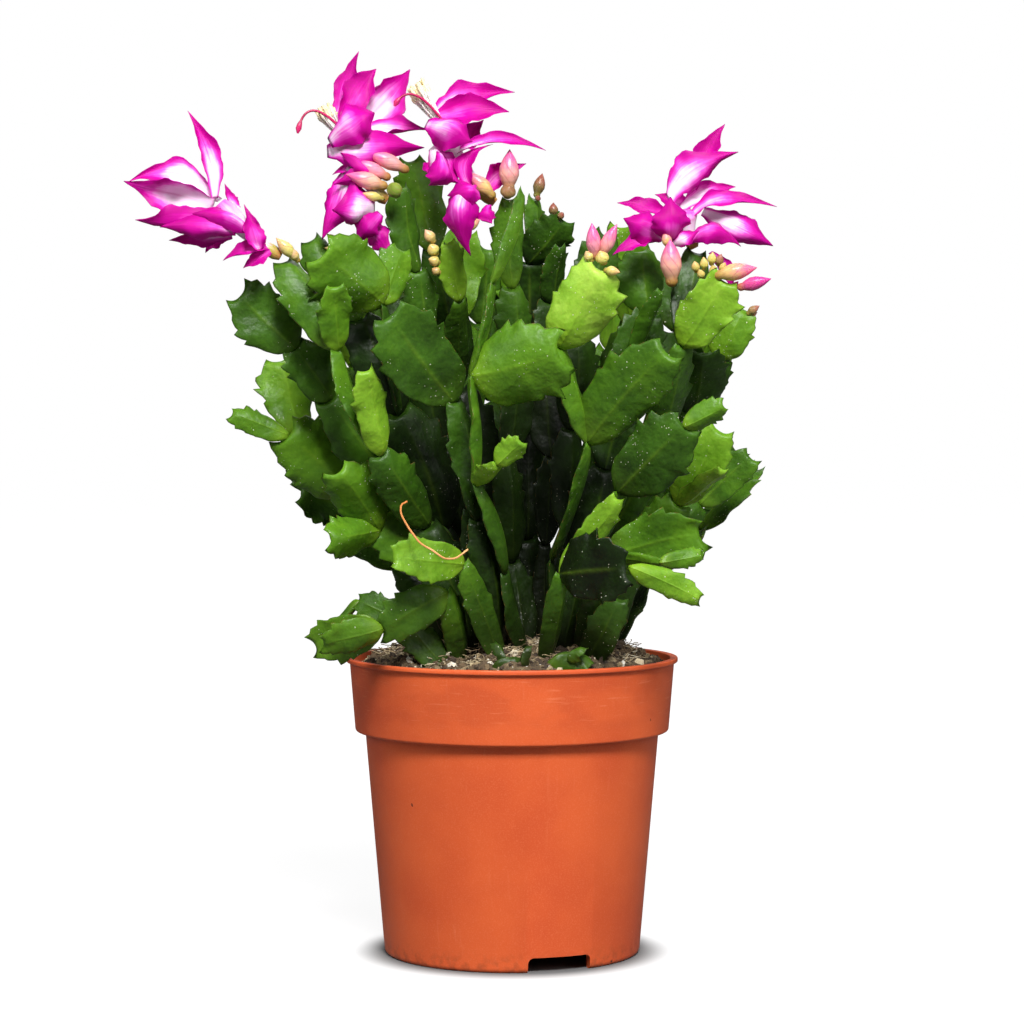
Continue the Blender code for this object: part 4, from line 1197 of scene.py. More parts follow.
def pad_blade(pad, joints, dice):
    along, across, out = pad.frame(joints)
    start, end = joints[pad.start] * MM, joints[pad.end] * MM
    length = np.linalg.norm(end - start)
    if pad.chain == 0 and pad.start in roots:
        start = start - along * ROOT_DEPTH * MM
    middle = np.array([0.0, 0.0, 0.5 * (start[2] + end[2])])
    outward = 1.0 if out.dot(0.5 * (start + end) - middle) > 0.0 else -1.0
    bow = dice.uniform(-0.04, 0.12) * outward * length
    return {
        "start": start - along * NECK_OVERLAP * MM,
        "bend": 0.5 * (start + end) + out * bow + across * dice.uniform(-0.05, 0.05) * length,
        "end": end + along * TIP_OVERLAP * MM,
        "across": across,
        "out": out,
        "width": pad.width * (BACK_SPREAD if start[1] + end[1] > BACK_DEPTH * MM else FRONT_SPREAD) * MM,
        "belly": PAD_BELLY * MM * (0.8 + 0.02 * pad.width),
        "cup": dice.uniform(-0.26, 0.14),
        "ripple": dice.uniform(0.02, 0.055),
        "twist": dice.uniform(-0.18, 0.18) * (1.8 if pad.last else 1.0),
        "seed": dice.uniform(0.0, 1.0),
        "hook": dice.uniform(-0.10, 0.16) * outward if pad.last else 0.0,
        "tone": pad.tone,
    }


pad_tree = blade_tree("grown_pads", PAD_COLUMNS, PAD_ROWS, OUTLINE, (TEETH_LEFT, TEETH_RIGHT), pad_skin())
for number, shoot in enumerate(SHOOTS):
    dice = np.random.default_rng(100 + number)
    blades = [pad_blade(pad, joints, dice) for pad in pads if pad.shoot == shoot]
    hand_over(grow_blades(f"{shoot}_pads", blades, pad_tree, **PAD_SIZES), shoot)

# ---- the flowers ----
# Four flowers stand on the tips of the shoots. Each has a short tube, from which two tiers of thin silky
# petals curl back; they are white along the middle, and magenta at the margins and tips.

PETAL_COLUMNS, PETAL_ROWS = 15, 25
PETAL_BODY, PETAL_SPREAD, PETAL_CUPPING, PETAL_FRAY = 0.45, 1.28, 1.3, 0.09
PETAL_OUTLINE = [
    (0.0, 0.32), (0.12, 0.52), (0.28, 0.80), (0.44, 1.0),
    (0.58, 0.93), (0.72, 0.62), (0.86, 0.28), (1.0, 0.02),
]
TUBE_SIDES, TUBE_RINGS = 24, 20
TUBE_SHARES = [0.0, 0.1, 0.22, 0.3, 0.6, 0.9, 1.0]
TUBE_RADII = [1.5, 2.3, 2.4, 2.0, 2.9, 3.9, 2.6]
ROD_CREASE = 60.0
SILK_GLOW = (1.0, 0.3, 0.8)
PETAL_WHITE = paint(246, 212, 238)
PETAL_PINK = paint(226, 78, 192)
PETAL_MAGENTA = paint(194, 3, 148)
PETAL_DEEP = paint(172, 0, 126)
OVARY_GREEN = paint(170, 160, 62)
OVARY_RUST = paint(190, 128, 72)

# Each flower is the shoot and joint that it sits on, where it starts from that joint, its tube and petals:
# (start, middle and tip, width, which way the face looks: round and up in degrees, cup, depth of colour).
FLOWERS = {
    "left_flower": ("left_flowering", 4, (-2, 0, 1.5), [(0, 0, 0), (-6, 0, 3), (-13, -1, 9), (-21, -1, 18)], [
        ((-23, 2, 20), (-25, 3, 35), (-32, 4, 51), 6.0, 20, 10, 0.25, 0.35),
        ((-23, 3, 19), (-37, 6, 29), (-53, 4, 26), 9.0, -10, 35, 0.2, 0.25),
        ((-23, -2, 18), (-38, -3, 21), (-54, -4, 25), 9.8, -5, -20, 0.2, 0.2),
        ((-20, -4, 15), (-35, -5, 12), (-50, -3, 11), 7.6, -10, -35, -0.2, 0.8),
        ((-15, -6, 8), (-27, -9, 10), (-41, -8, 10), 7.2, 10, -10, -0.3, 0.75),
        ((-10, -5, 8), (-19, -9, 14), (-30, -9, 15), 6.1, 20, 25, -0.35, 0.7),
        ((-17, 2, 7), (-28, 3, 7), (-39, 4, 6), 5.4, -10, -30, 0.2, 0.75),
        ((-18, 6, 8), (-24, 8, 6), (-27, 8, 2), 4.3, 20, 0, 0.2, 0.9),
        ((-7, -4, 2), (-9, -6, 8), (-11, -5, 18), 6.1, 25, 0, 0.25, 0.7),
        ((-4, -2, 3), (-12, -5, 2), (-20, -4, 0), 4.6, 0, 30, 0.3, 0.95),
        ((-3, -2, 2), (-8, -4, -1), (-13, -3, -4), 3.8, 10, 0, 0.3, 0.95),
        ((-15, 6, 17), (-18, 9, 20), (-20, 9, 26), 3.6, 30, 0, 0.2, 0.5),
        ((-22, 10, 20), (-35, 16, 27), (-41, 18, 33), 6.5, 0, 50, 0.2, 0.5),
    ]),
    "upper_flower": ("tall_left", 5, (-5, 3, -4), [(0, 0, 0), (-5, 0, 3), (-11, 0, 11), (-17, 0, 22)], [
        ((-18, 4, 28), (-15, 8, 41), (-10, 9, 53), 6.2, -35, 0, 0.2, 0.75),
        ((-16, 0, 27), (-10, 3, 39), (-4, 4, 48), 8.6, 10, 0, 0.25, 0.85),
        ((-13, 6, 24), (-1, 9, 36), (8, 8, 47), 10.8, 20, 0, 0.15, 0.3),
        ((-15, 3, 23), (1, 2, 26), (15, 0, 27), 6.7, 0, 45, 0.2, 0.4),
        ((-21, -4, 17), (-6, -9, 18), (13, -5, 18), 10.8, 5, -5, -0.15, 0.55),
        ((-20, -7, 20), (-11, -12, 27), (-4, -10, 30), 11.6, -15, 20, -0.3, 0.6),
        ((-12, -3, 12), (-16, -6, 1), (-23, -6, -14), 10.8, -20, -5, -0.2, 0.45),
        ((-4, -8, -3), (-11, -12, -4), (-19, -10, -3), 12.0, 0, -15, -0.3, 0.4),
        ((-2, -8, -5), (-6, -11, -10), (-10, -10, -15), 7.3, 30, 0, -0.2, 0.85),
        ((-7, -2, -9), (-3, -4, -13), (2, -5, -19), 7.3, 0, -10, -0.2, 0.75),
        ((-2, -4, 6), (-10, -9, 7), (-18, -9, 5), 5.6, 0, -25, -0.3, 0.85),
        ((-2, -5, 8), (-8, -10, 12), (-15, -9, 17), 6.2, 0, 15, -0.3, 0.9),
        ((-7, 0, 9), (-13, -4, 11), (-19, -2, 10), 4.3, 0, 40, 0.4, 0.4),
        ((-7, 2, 3), (-10, 0, -1), (-13, 0, 3), 6.0, 20, 0, 0.3, 0.6),
        ((-15, 10, 27), (-8, 16, 33), (0, 17, 30), 6.9, 30, 30, 0.2, 0.6),
    ]),
    "middle_flower": ("middle_upright", 5, (-5, 0, -1), [(0, 0, 0), (-7, 0, 5), (-14, 0, 15), (-20, 0, 27)], [
        ((-22, 4, 31), (-10, 8, 38), (7, 8, 40), 8.6, 0, 20, 0.2, 0.55),
        ((-22, 0, 29), (-9, 3, 33), (5, 3, 32), 9.0, 5, 25, 0.25, 0.8),
        ((-24, -6, 27), (-15, -12, 24), (-8, -9, 19), 10.2, -10, 15, -0.3, 0.6),
        ((-14, -2, 17), (1, -3, 22), (18, 0, 19), 4.7, 0, 45, 0.3, 0.6),
        ((-22, -5, 19), (-19, -8, 12), (-12, -8, 6), 8.6, -20, 0, -0.3, 0.4),
        ((-19, -8, 17), (-18, -13, 9), (-22, -12, 6), 7.3, 10, 0, -0.4, 0.8),
        ((-8, -6, 6), (-13, -10, -4), (-9, -10, -18), 9.5, -15, 0, -0.35, 0.65),
        ((-5, -7, 2), (-10, -10, 4), (-15, -11, 2), 7.7, 0, 20, -0.3, 0.9),
        ((-4, 2, 4), (2, 3, 10), (11, 4, 14), 6.5, 15, 0, 0.25, 0.75),
        ((-2, -5, -1), (-3, -7, -5), (-1, -7, -8), 5.2, 20, 0, -0.2, 0.95),
        ((-6, -4, 2), (-11, -8, 13), (-1, -6, 20), 5.3, 10, 0, 0.3, 0.7),
        ((-14, 6, 21), (-10, 9, 24), (-4, 10, 30), 7.7, 0, 0, 0.2, 0.7),
        ((-19, -2, 17), (-22, -5, 10), (-23, -4, 11), 5.2, -30, 0, 0.3, 0.8),
    ]),
    "right_flower": ("right_bright", 5, (0, 0, 2), [(0, 0, 0), (-2, 0, 4), (-3, 0, 8), (-3, -2, 13)], [
        ((0, 5, 21), (5, 9, 34), (11, 9, 45), 6.6, -20, 0, 0.3, 0.85),
        ((-9, -2, 17), (-1, -1, 27), (15, 1, 34), 9.8, 10, 5, -0.15, 0.4),
        ((-5, 3, 14), (5, 5, 20), (15, 6, 23), 6.5, 0, 30, 0.25, 0.4),
        ((-2, -2, 10), (9, -3, 17), (29, 0, 15), 5.6, 5, 35, 0.25, 0.6),
        ((3, 2, 13), (16, 0, 7), (28, 2, 1), 8.3, 0, 10, -0.2, 0.45),
        ((-3, -5, 2), (6, -8, 6), (16, -6, 1), 6.6, 5, 20, -0.25, 0.7),
        ((-9, -7, 2), (-9, -15, 8), (-9, -13, 17), 10.7, 5, 0, -0.25, 0.8),
        ((-11, -5, 4), (-18, -10, 7), (-25, -9, 10), 9.0, -15, 10, -0.2, 0.65),
        ((-8, 3, 12), (-18, 5, 15), (-27, 5, 16), 4.8, -20, 25, 0.25, 0.9),
        ((-13, -5, 3), (-21, -8, 2), (-29, -7, -3), 4.8, 0, 30, 0.25, 0.75),
        ((6, 6, -1), (12, 8, -7), (14, 9, -15), 4.3, 20, 0, 0.2, 0.85),
        ((-8, -9, 1), (-4, -12, 3), (0, -12, 6), 4.5, 0, 20, -0.2, 0.4),
        ((-1, 10, 12), (-6, 16, 17), (-13, 17, 21), 6.5, -20, 30, 0.2, 0.6),
    ]),
}


def petal_skin():
    material, tree, shader = new_material(
        "petal_silk", Roughness=0.5, Specular_IOR_Level=0.15, Subsurface_Weight=0.25,
        Subsurface_Radius=SILK_GLOW, Subsurface_Scale=0.0012,
    )
    u, t, tone, seed = attributes(tree, "side_share", "tip_share", "tone", "seed")
    edge = u.size()
    streaks = cloudy(arrow(tree, u * 9.0, t * 1.1, seed * 37.0), 1.0, 4.0, 0.6)
    cloud = cloudy(places(tree), 0.16, 2.0)
    depth = edge**2.2 * 0.75 + t.between(0.35, 0.98) * 0.75 + (tone - 0.5) * 0.9 + (streaks - 0.5) * 0.4
    depth = depth + (cloud - 0.5) * 0.5 - (1.0 - t.between(0.0, 0.3)) * 0.12 + 0.20
    stops = [(0.0, PETAL_WHITE), (0.14, PETAL_WHITE), (0.40, PETAL_PINK)]
    stops += [(0.64, PETAL_MAGENTA), (1.0, PETAL_DEEP)]
    rib = (0.0 - (u / 0.06) ** 2.0).maths("EXPONENT") * t.between(0.1, 0.6) * 0.45
    margin = edge.between(0.90, 1.0) * 0.65
    colour = mixed(rib.maths("MAXIMUM", margin), shades(depth.clamped(), stops), PETAL_MAGENTA)
    feed_all(tree, shader, Base_Color=colour, Normal=relief(streaks + rib, 0.35, 0.0003))
    return material


def tube_skin():
    material, tree, shader = new_material(
        "flower_tube", Roughness=0.45, Subsurface_Weight=0.2, Subsurface_Radius=SILK_GLOW,
        Subsurface_Scale=0.001,
    )
    share, ring = attributes(tree, "share", "ring_share")
    around = ring * 2 * pi
    streaks = cloudy(arrow(tree, wavy(around) * 4.0, around.maths("COSINE") * 4.0, share), 1.0)
    stops = [(0.0, OVARY_RUST), (0.2, OVARY_GREEN), (0.34, PETAL_WHITE)]
    stops += [(0.75, PETAL_WHITE), (1.0, PETAL_PINK)]
    colour = shades((share + (streaks - 0.5) * 0.25).clamped(), stops)
    feed_all(tree, shader, Base_Color=colour, Normal=relief(streaks, 0.3, 0.0003))
    return material


def rod_tree(name, sides, material):
    """A round skin on every line of the mesh. Each point holds the radius there; flutes run along the rod."""
    inputs = (
        ("Flutes", "NodeSocketInt", 0),
        ("Flute Depth", "NodeSocketFloat", 0.0),
        ("Swirl", "NodeSocketFloat", 0.0),
    )
    tree, given, leave = new_shape_tree(name, inputs)
    lines = make(tree, "GeometryNodeMeshToCurve", Mesh=given["Geometry"])
    ring = make(tree, "GeometryNodeCurvePrimitiveCircle", Radius=1.0, Resolution=sides)
    ring = keep_attribute(ring, "ring_share", make(tree, "GeometryNodeSplineParameter", "Factor"))
    radius, around, share = read_attributes(tree, "FLOAT", "radius", "ring_share", "share")
    wrap = {"Profile_Curve": ring, "Scale": radius, "Fill_Caps": True}
    skin = make(tree, "GeometryNodeCurveToMesh", Curve=lines, **wrap)
    turn = around * given["Flutes"] + share * given["Swirl"]
    bump = (wavy(turn * (2 * pi)).size() - 0.6) * given["Flute Depth"] * radius
    away = arrow_maths("SCALE", make(tree, "GeometryNodeInputNormal", "Normal"), bump)
    skin = make(tree, "GeometryNodeSetPosition", Geometry=skin, Offset=away)
    feed(tree, leave, make(tree, "GeometryNodeSetMaterial", Geometry=skin, Material=material))
    return tree


def bezier(points, count):
    """Evenly spaced points on the smooth curve that the control points pull."""
    t = np.linspace(0.0, 1.0, count)[:, None]
    layer = [np.array(p, float)[None] for p in points]
    while len(layer) > 1:
        layer = [a * (1.0 - t) + b * t for a, b in zip(layer, layer[1:])]
    return layer[0]


def through(points, count):
    """Points on a curve through three given ones."""
    start, middle, end = (np.array(p, float) for p in points)
    return bezier([start, 2.0 * middle - 0.5 * (start + end), end], count)


def tapering(count, shares, radii):
    """Radii at even steps along a rod, read between a few given ones."""
    return np.interp(np.linspace(0.0, 1.0, count), shares, radii)


def grow_rods(name, rods, tree, **sizes):
    """One piece from a list of (points in mm, radii in mm, tone)."""
    mesh = bpy.data.meshes.new(name)
    points, edges, radii, shares, tones = [], [], [], [], []
    for path, widths, tone in rods:
        edges += [(len(points) + i, len(points) + i + 1) for i in range(len(path) - 1)]
        points += [tuple(p * MM) for p in path]
        radii += [w * MM for w in widths]
        shares += list(np.linspace(0.0, 1.0, len(path)))
        tones += [tone] * len(path)
    mesh.from_pydata(points, edges, [])
    for label, values in (("radius", radii), ("share", shares), ("tone", tones)):
        mesh.attributes.new(label, "FLOAT", "POINT").data.foreach_set("value", values)
    made = grow_nodes(add_object(name, mesh), tree, **sizes)
    made.data.shade_smooth()
    made.data.set_sharp_from_angle(angle=radians(ROD_CREASE))
    return made


def petal_blade(petal, origin, dice):
    start, middle, tip, width, around, up, cup, tone = petal
    start, middle, tip = (origin + np.array(p, float) for p in (start, middle, tip))
    along = unit(tip - start)
    around, up = radians(around), radians(up)
    out = np.array([sin(around) * cos(up), -cos(around) * cos(up), sin(up)])
    out = unit(out - along * out.dot(along))
    return {
        "start": start * MM,
        "bend": (2.0 * middle - 0.5 * (start + tip)) * MM,
        "end": tip * MM,
        "across": np.cross(along, out),
        "out": out,
        "width": width * PETAL_SPREAD * MM,
        "belly": PETAL_BODY * MM,
        "cup": cup * PETAL_CUPPING,
        "ripple": dice.uniform(0.05, 0.12),
        "twist": dice.uniform(-0.5, 0.5),
        "seed": dice.uniform(0.0, 1.0),
        "hook": dice.uniform(-0.45, 0.2),
        "tone": tone,
    }


petal_tree = blade_tree("grown_petals", PETAL_COLUMNS, PETAL_ROWS, PETAL_OUTLINE, None, petal_skin())
flower_tube_tree = rod_tree("grown_tubes", TUBE_SIDES, tube_skin())
origins = {}
for number, (flower, (shoot, joint, offset, tube, petals)) in enumerate(FLOWERS.items()):
    origin = joint_of(shoot, joint) + np.array(offset, float)
    origins[flower] = origin
    dice = np.random.default_rng(300 + number)
    blades = [petal_blade(petal, origin, dice) for petal in petals]
    hand_over(grow_blades(f"{flower}_petals", blades, petal_tree, fray=PETAL_FRAY), flower)
    rod = (bezier(tube, TUBE_RINGS) + origin, tapering(TUBE_RINGS, TUBE_SHARES, TUBE_RADII), 0.0)
    piece = grow_rods(f"{flower}_tube", [rod], flower_tube_tree, flutes=4, flute_depth=0.12, swirl=0.4)
    hand_over(piece, flower)

# ---- the stamens and styles ----
# From the mouth of each of the two open flowers comes a bundle of thin white filaments with cream pollen
# heads, and one crimson style that ends in a knob.

FILAMENTS = 110
FILAMENT_RADII = [0.17] * 6 + [0.22, 0.62, 0.5]
FILAMENT_SIDES, STYLE_SIDES, STYLE_RINGS = 6, 10, 18
STYLE_SHARES = [0.0, 0.82, 0.86, 0.93, 1.0]
STYLE_RADII = [0.5, 0.42, 0.75, 1.2, 0.35]
STAMEN_CREAMS = paints(
    (0.0, 255, 252, 248), (0.75, 254, 250, 240), (0.86, 244, 236, 205), (1.0, 240, 224, 172)
)
STYLE_CRIMSONS = paints((0.0, 200, 30, 100), (0.8, 160, 14, 70), (1.0, 214, 40, 110))

# The flower, the bundle's root, middle and head, and how wide the head is.
STAMENS = {
    "upper_stamens": ("upper_flower", [(-14, 3, 21), (-19, 3, 27), (-23, 3, 33)], 9.0),
    "middle_stamens": ("middle_flower", [(-18, -1, 26), (-23, -2, 33), (-28, -2, 41)], 10.0),
}
STYLES = {
    "upper_style": ("upper_flower", [(-16, -4, 25), (-26, -7, 31), (-31, -8, 23)]),
    "middle_style": ("middle_flower", [(-18, -4, 28), (-28, -7, 37), (-35, -8, 33)]),
}


def plain_skin(name, stops, roughness):
    """A soft skin whose colour runs along the piece."""
    material, tree, shader = new_material(name, Roughness=roughness)
    (share,) = attributes(tree, "share")
    grain = cloudy(places(tree), 0.9)
    colour = shades((share + (grain - 0.5) * 0.2).clamped(), stops)
    feed_all(tree, shader, Base_Color=colour, Normal=relief(grain, 0.3, 0.0003))
    return material


def stamen_rods(route, spread, dice):
    start, middle, head = (np.array(p, float) for p in route)
    along = unit(head - start)
    side = unit(np.cross(along, (0.0, 1.0, 0.0)))
    rods = []
    for _ in range(FILAMENTS):
        angle, reach = dice.uniform(0.0, 2 * pi), dice.uniform(0.1, 1.0) ** 0.5
        fan = side * cos(angle) * 0.75 + np.array([0.0, sin(angle), 0.0])
        end = head + fan * reach * spread * 0.5 + along * dice.uniform(-4.5, 0.5)
        route = [start + fan * reach * 0.8, middle + fan * reach * spread * 0.33, end]
        rods.append((through(route, len(FILAMENT_RADII)), FILAMENT_RADII, 0.0))
    return rods


filament_tree = rod_tree("grown_filaments", FILAMENT_SIDES, plain_skin("stamen_cream", STAMEN_CREAMS, 0.8))
style_tree = rod_tree("grown_styles", STYLE_SIDES, plain_skin("style_crimson", STYLE_CRIMSONS, 0.4))
for number, (name, (flower, route, spread)) in enumerate(STAMENS.items()):
    route = [origins[flower] + np.array(p, float) for p in route]
    rods = stamen_rods(route, spread, np.random.default_rng(500 + number))
    hand_over(grow_rods(f"{name}_bundle", rods, filament_tree), name)
for name, (flower, route) in STYLES.items():
    path = through(route, STYLE_RINGS) + origins[flower]
    rod = (path, tapering(STYLE_RINGS, STYLE_SHARES, STYLE_RADII), 0.0)
    hand_over(grow_rods(f"{name}_rod", [rod], style_tree), name)

# ---- the buds ----
# Buds sit on the horns of the end pads, in clusters, from yellow-green knobs to long pink ones that are about
# to open. Their scales overlap like roof tiles.

BUD_SIDES, BUD_RINGS = 20, 18
BUD_SHARES = [0.0, 0.05, 0.13, 0.19, 0.25, 0.42, 0.60, 0.78, 0.92, 1.0]
BUD_PROFILE = [0.25, 0.52, 0.60, 0.54, 0.74, 1.0, 0.93, 0.62, 0.24, 0.03]
BUD_SWAY = (0.4, 0.3, 0.3)
BUD_VEIN = paint(176, 86, 96)
# The colours of a bud's body, point and foot, by how ripe it is.
BUD_BODY = paints(
    (0.0, 112, 136, 44), (0.1, 116, 100, 56), (0.2, 150, 128, 76), (0.3, 208, 202, 98), (0.4, 208, 190, 110),
    (0.62, 220, 180, 114), (0.76, 234, 174, 152), (0.84, 230, 148, 162), (1.0, 210, 74, 138),
)
BUD_POINT = paints(
    (0.0, 130, 150, 50), (0.1, 150, 84, 70), (0.2, 160, 96, 80), (0.3, 214, 184, 108), (0.4, 230, 176, 140),
    (0.62, 232, 104, 150), (0.8, 230, 86, 156), (1.0, 212, 46, 142),
)
BUD_FOOT = paints((0.0, 96, 110, 40), (0.3, 158, 140, 52), (0.8, 166, 122, 60), (1.0, 176, 96, 70))

# Each cluster is the shoot and joint that it sits on and its buds: (root, tip, radius, how ripe from 0 to 1).
# The late buds are too small to have a solid of their own.
BUDS = {
    "left_flower_buds": ("left_flowering", 4, [
        ((3.7, -1.0, 0.2), (-3.4, -3.0, 7.7), 2.2, 0.35),
        ((4.3, 0.0, -0.5), (1.0, -3.0, 4.6), 1.7, 0.4),
    ]),
    "left_small_buds": ("left_broad", 6, [
        ((10.0, -1.0, -2.1), (6.8, -3.0, 2.3), 1.4, 0.33),
        ((9.7, -1.0, -3.2), (4.7, -3.0, -2.5), 1.3, 0.3),
        ((10.1, 0.0, -0.8), (9.4, -1.0, 1.9), 1.1, 0.25),
    ]),
    "tall_left_buds": ("tall_left", 5, [
        ((2.8, -3.0, 6.0), (-11.9, -6.0, 12.8), 2.8, 0.8),
        ((-3.6, -4.0, 3.3), (-16.7, -6.0, 9.8), 2.7, 0.85),
        ((-4.6, -6.0, 0.2), (-18.8, -10.0, 4.4), 3.0, 0.75),
        ((-1.0, -8.0, -2.8), (-2.8, -14.0, 0.9), 2.8, 0.0),
        ((-5.6, -6.0, -4.0), (-13.2, -8.0, -2.0), 1.7, 0.35),
    ]),
    "stacked_buds": ("tall_middle", 6, [
        ((-4.4, -2.0, -0.1), (-7.7, -4.0, 4.6), 2.0, 0.4),
        ((-3.7, -2.0, -4.3), (-6.0, -5.0, -0.7), 2.2, 0.3),
        ((-2.7, -2.0, -7.2), (-6.4, -5.0, -5.7), 1.9, 0.28),
        ((-2.3, -2.0, -10.6), (-5.2, -4.0, -9.0), 1.6, 0.25),
    ]),
    "middle_buds": ("middle_upright", 5, [
        ((-0.2, 0.0, 2.4), (0.2, -1.0, 17.6), 3.6, 0.78),
        ((-5.1, -3.0, 0.4), (-14.6, -5.0, 9.4), 2.8, 0.6),
        ((-0.6, -3.0, 0.9), (0.2, -7.0, 4.4), 2.8, 0.08),
    ]),
    "middle_small_bud": ("middle_back", 6, [
        ((-0.2, 0.0, 0.5), (2.1, 0.0, 9.4), 2.2, 0.12),
        ((0.2, -1.0, -0.6), (1.0, -3.0, 0.8), 1.1, 0.1),
    ]),
    "back_buds": ("middle_back", 5, [
        ((-3.6, 0.0, 1.9), (-4.0, -1.0, 7.2), 1.8, 0.1),
        ((-2.1, 0.0, 1.2), (-0.4, -2.0, 3.5), 1.3, 0.15),
    ]),
    "right_edge_buds": ("right_edge", 4, [
        ((-1.8, -1.0, 2.4), (-2.9, -3.0, 14.9), 2.6, 0.85),
        ((0.2, -1.0, 3.1), (5.7, -3.0, 14.5), 2.4, 0.8),
        ((1.2, -3.0, 1.0), (-0.3, -6.0, 5.3), 2.4, 0.3),
        ((1.2, -3.0, -1.1), (6.7, -5.0, -1.9), 1.7, 0.33),
        ((-2.5, -1.0, 1.7), (-4.9, -2.0, 5.5), 1.8, 0.35),
    ]),
    "big_right_bud": ("right_upper", 6, [
        ((4.4, -2.0, 0.8), (3.7, -4.0, 17.2), 3.8, 0.75),
        ((3.8, -1.0, 13.9), (1.8, -2.0, 20.1), 1.8, 0.55),
    ]),
    "right_tip_buds": ("right_bright", 4, [
        ((-3.6, -1.0, 1.5), (11.3, -3.0, 4.3), 3.0, 0.62),
        ((4.6, -2.0, -2.7), (16.0, -5.0, 0.4), 2.4, 1.0),
        ((2.3, 2.0, -4.0), (5.3, 3.0, -0.1), 1.4, 0.95),
    ]),
    "far_right_buds": ("right_high", 5, [
        ((1.1, 0.0, -1.7), (5.6, -1.0, 1.5), 1.5, 0.2),
        ((2.2, 0.0, -1.9), (4.9, 0.0, -0.8), 0.9, 0.15),
    ]),
    "late_buds": ("right_upper", 6, [
        ((13.0, -3.0, 5.5), (12.0, -5.0, 9.5), 1.5, 0.28), ((15.5, -3.0, 6.5), (15.2, -5.0, 11.0), 1.5, 0.3),
        ((18.0, -3.0, 8.0), (18.4, -5.0, 12.6), 1.6, 0.3), ((20.5, -3.0, 8.0), (21.4, -5.0, 12.0), 1.5, 0.18),
        ((15.0, -4.0, 3.5), (13.6, -6.5, 6.6), 1.4, 0.3), ((18.5, -4.0, 4.5), (18.2, -7.0, 8.0), 1.5, 0.3),
        ((21.5, -4.0, 5.5), (22.6, -6.5, 9.0), 1.4, 0.28),
    ]),
    "back_top_buds": ("back_left_tall", 4, [
        ((0, 0, 1.5), (1, 2, 9), 2.0, 0.6), ((0, 0, 1.5), (6, 3, 7), 1.9, 0.5),
        ((0, 0, 1.5), (-5, 2, 6), 1.7, 0.3),
    ]),
}


def bud_skin():
    material, tree, shader = new_material(
        "bud_scales", Roughness=0.36, Subsurface_Weight=0.2, Subsurface_Radius=(1.0, 0.5, 0.4),
        Subsurface_Scale=0.001,
    )
    share, ring, ripe = attributes(tree, "share", "ring_share", "tone")
    cloud = cloudy(places(tree), 0.5)
    tipward = (share + (cloud - 0.5) * 0.6).between(0.3, 0.92)
    colour = mixed(tipward, shades(ripe, BUD_BODY), shades(ripe, BUD_POINT))
    colour = mixed(1.0 - share.between(0.08, 0.34), colour, shades(ripe, BUD_FOOT))
    seam = wavy((ring * 3.0 + share * 1.7) * (2 * pi)).size().between(0.0, 0.22)
    colour = mixed((1.0 - seam) * 0.4, colour, BUD_VEIN)
    feed_all(tree, shader, Base_Color=colour, Normal=relief(seam * 1.2 + cloud * 0.4, 0.5, 0.0003))
    return material


def bud_rod(place, bud, dice):
    root, tip, radius, ripe = bud
    root, tip = place + np.array(root, float), place + np.array(tip, float)
    middle = 0.5 * (root + tip) + dice.uniform(-0.5, 0.5, 3) * BUD_SWAY
    radii = tapering(BUD_RINGS, BUD_SHARES, BUD_PROFILE) * radius
    return through([root, middle, tip], BUD_RINGS), radii, ripe


bud_tree = rod_tree("grown_buds", BUD_SIDES, bud_skin())
for number, (name, (shoot, joint, buds)) in enumerate(BUDS.items()):
    dice = np.random.default_rng(700 + number)
    rods = [bud_rod(joint_of(shoot, joint), bud, dice) for bud in buds]
    piece = grow_rods(f"{name}_cluster", rods, bud_tree, flutes=3, flute_depth=0.10, swirl=0.85)
    hand_over(piece, None if name == "late_buds" else name)

# ---- what lies about ----
# A bright orange thread of coir is caught on the low pads on the left, and five fallen scraps of pad lie on
# the soil. They have no solids of their own, so they stand for no node.

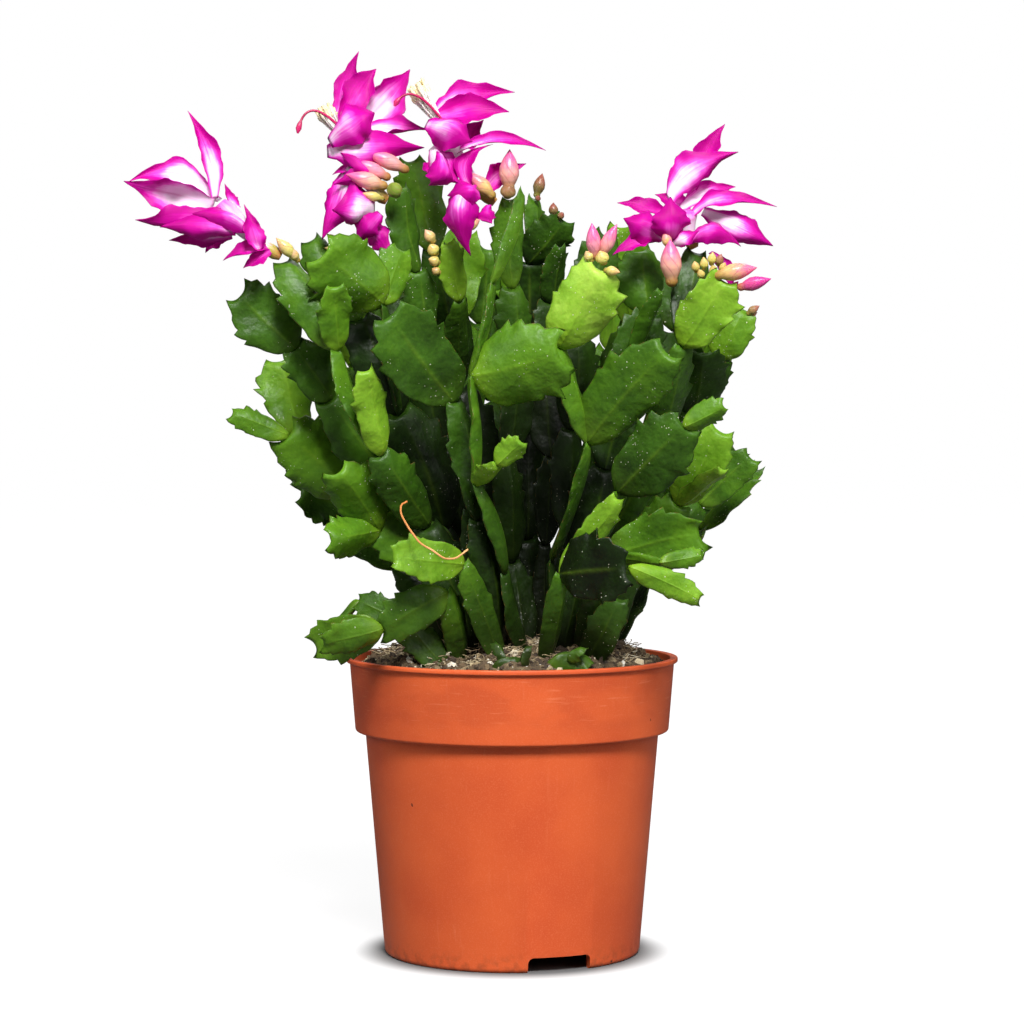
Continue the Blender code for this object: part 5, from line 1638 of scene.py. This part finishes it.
COIR_ORANGES = paints((0.0, 216, 128, 60), (1.0, 236, 170, 110))
COIR_ROUTE = [
    (-36, -58, 165), (-38, -60, 164), (-38, -62, 161), (-35, -66, 156), (-31, -69, 151), (-27, -70, 149),
    (-23, -70, 146), (-19, -69, 146), (-15, -66, 149),
]
COIR_RADIUS, COIR_SIDES, COIR_RINGS = 0.35, 6, 50
SMOOTHINGS = 3
SCRAP_BELLY, SCRAP_BOW = 1.6, 1.5
SCRAP_SIZES = {"tooth_size": 0.13, "rib": 0.2 * MM, "fray": 0.05}

# Each fallen piece is (foot, tip, width, which way its face looks, how light it is).
FALLEN = [
    ((12, -49, 108), (27, -46, 112), 9.0, 20, 5), ((20, -50, 109), (24, -52, 115), 5.0, -30, 5),
    ((-7, -50, 107), (3, -49, 111), 5.0, 10, 4), ((-2, -49, 107), (-6, -47, 116), 4.0, 40, 4),
    ((4, -51, 107), (5, -51, 115), 3.5, -20, 3),
]


def smooth_route(points, count):
    """Evenly numbered points on a line that bends softly through the given ones."""
    t = np.linspace(0.0, len(points) - 1.0, count)
    line = np.array([np.interp(t, range(len(points)), column) for column in np.array(points, float).T]).T
    for _ in range(SMOOTHINGS):
        line[1:-1] = (line[:-2] + line[1:-1] * 2.0 + line[2:]) / 4.0
    return line


def fallen_blade(start, end, width, face, tone, seed):
    start, end = np.array(start, float), np.array(end, float)
    along = unit(end - start)
    out = np.array([sin(radians(face)) * 0.6, -cos(radians(face)) * 0.6, 0.8])
    out = unit(out - along * out.dot(along))
    return {
        "start": start * MM, "bend": (0.5 * (start + end) + out * SCRAP_BOW) * MM, "end": end * MM,
        "across": np.cross(along, out), "out": out, "width": width * MM, "belly": SCRAP_BELLY * MM,
        "cup": -0.5, "ripple": 0.08, "twist": 0.6, "seed": seed, "hook": -0.3, "tone": tone / TONE_STEPS,
    }


coir_tree = rod_tree("grown_coir", COIR_SIDES, plain_skin("coir_orange", COIR_ORANGES, 0.6))
coir = (smooth_route(COIR_ROUTE, COIR_RINGS), [COIR_RADIUS] * COIR_RINGS, 0.0)
hand_over(grow_rods("coir_thread", [coir], coir_tree))
blades = [fallen_blade(*facts, 0.13 * (k + 1)) for k, facts in enumerate(FALLEN)]
hand_over(grow_blades("fallen_pads", blades, pad_tree, **SCRAP_SIZES))
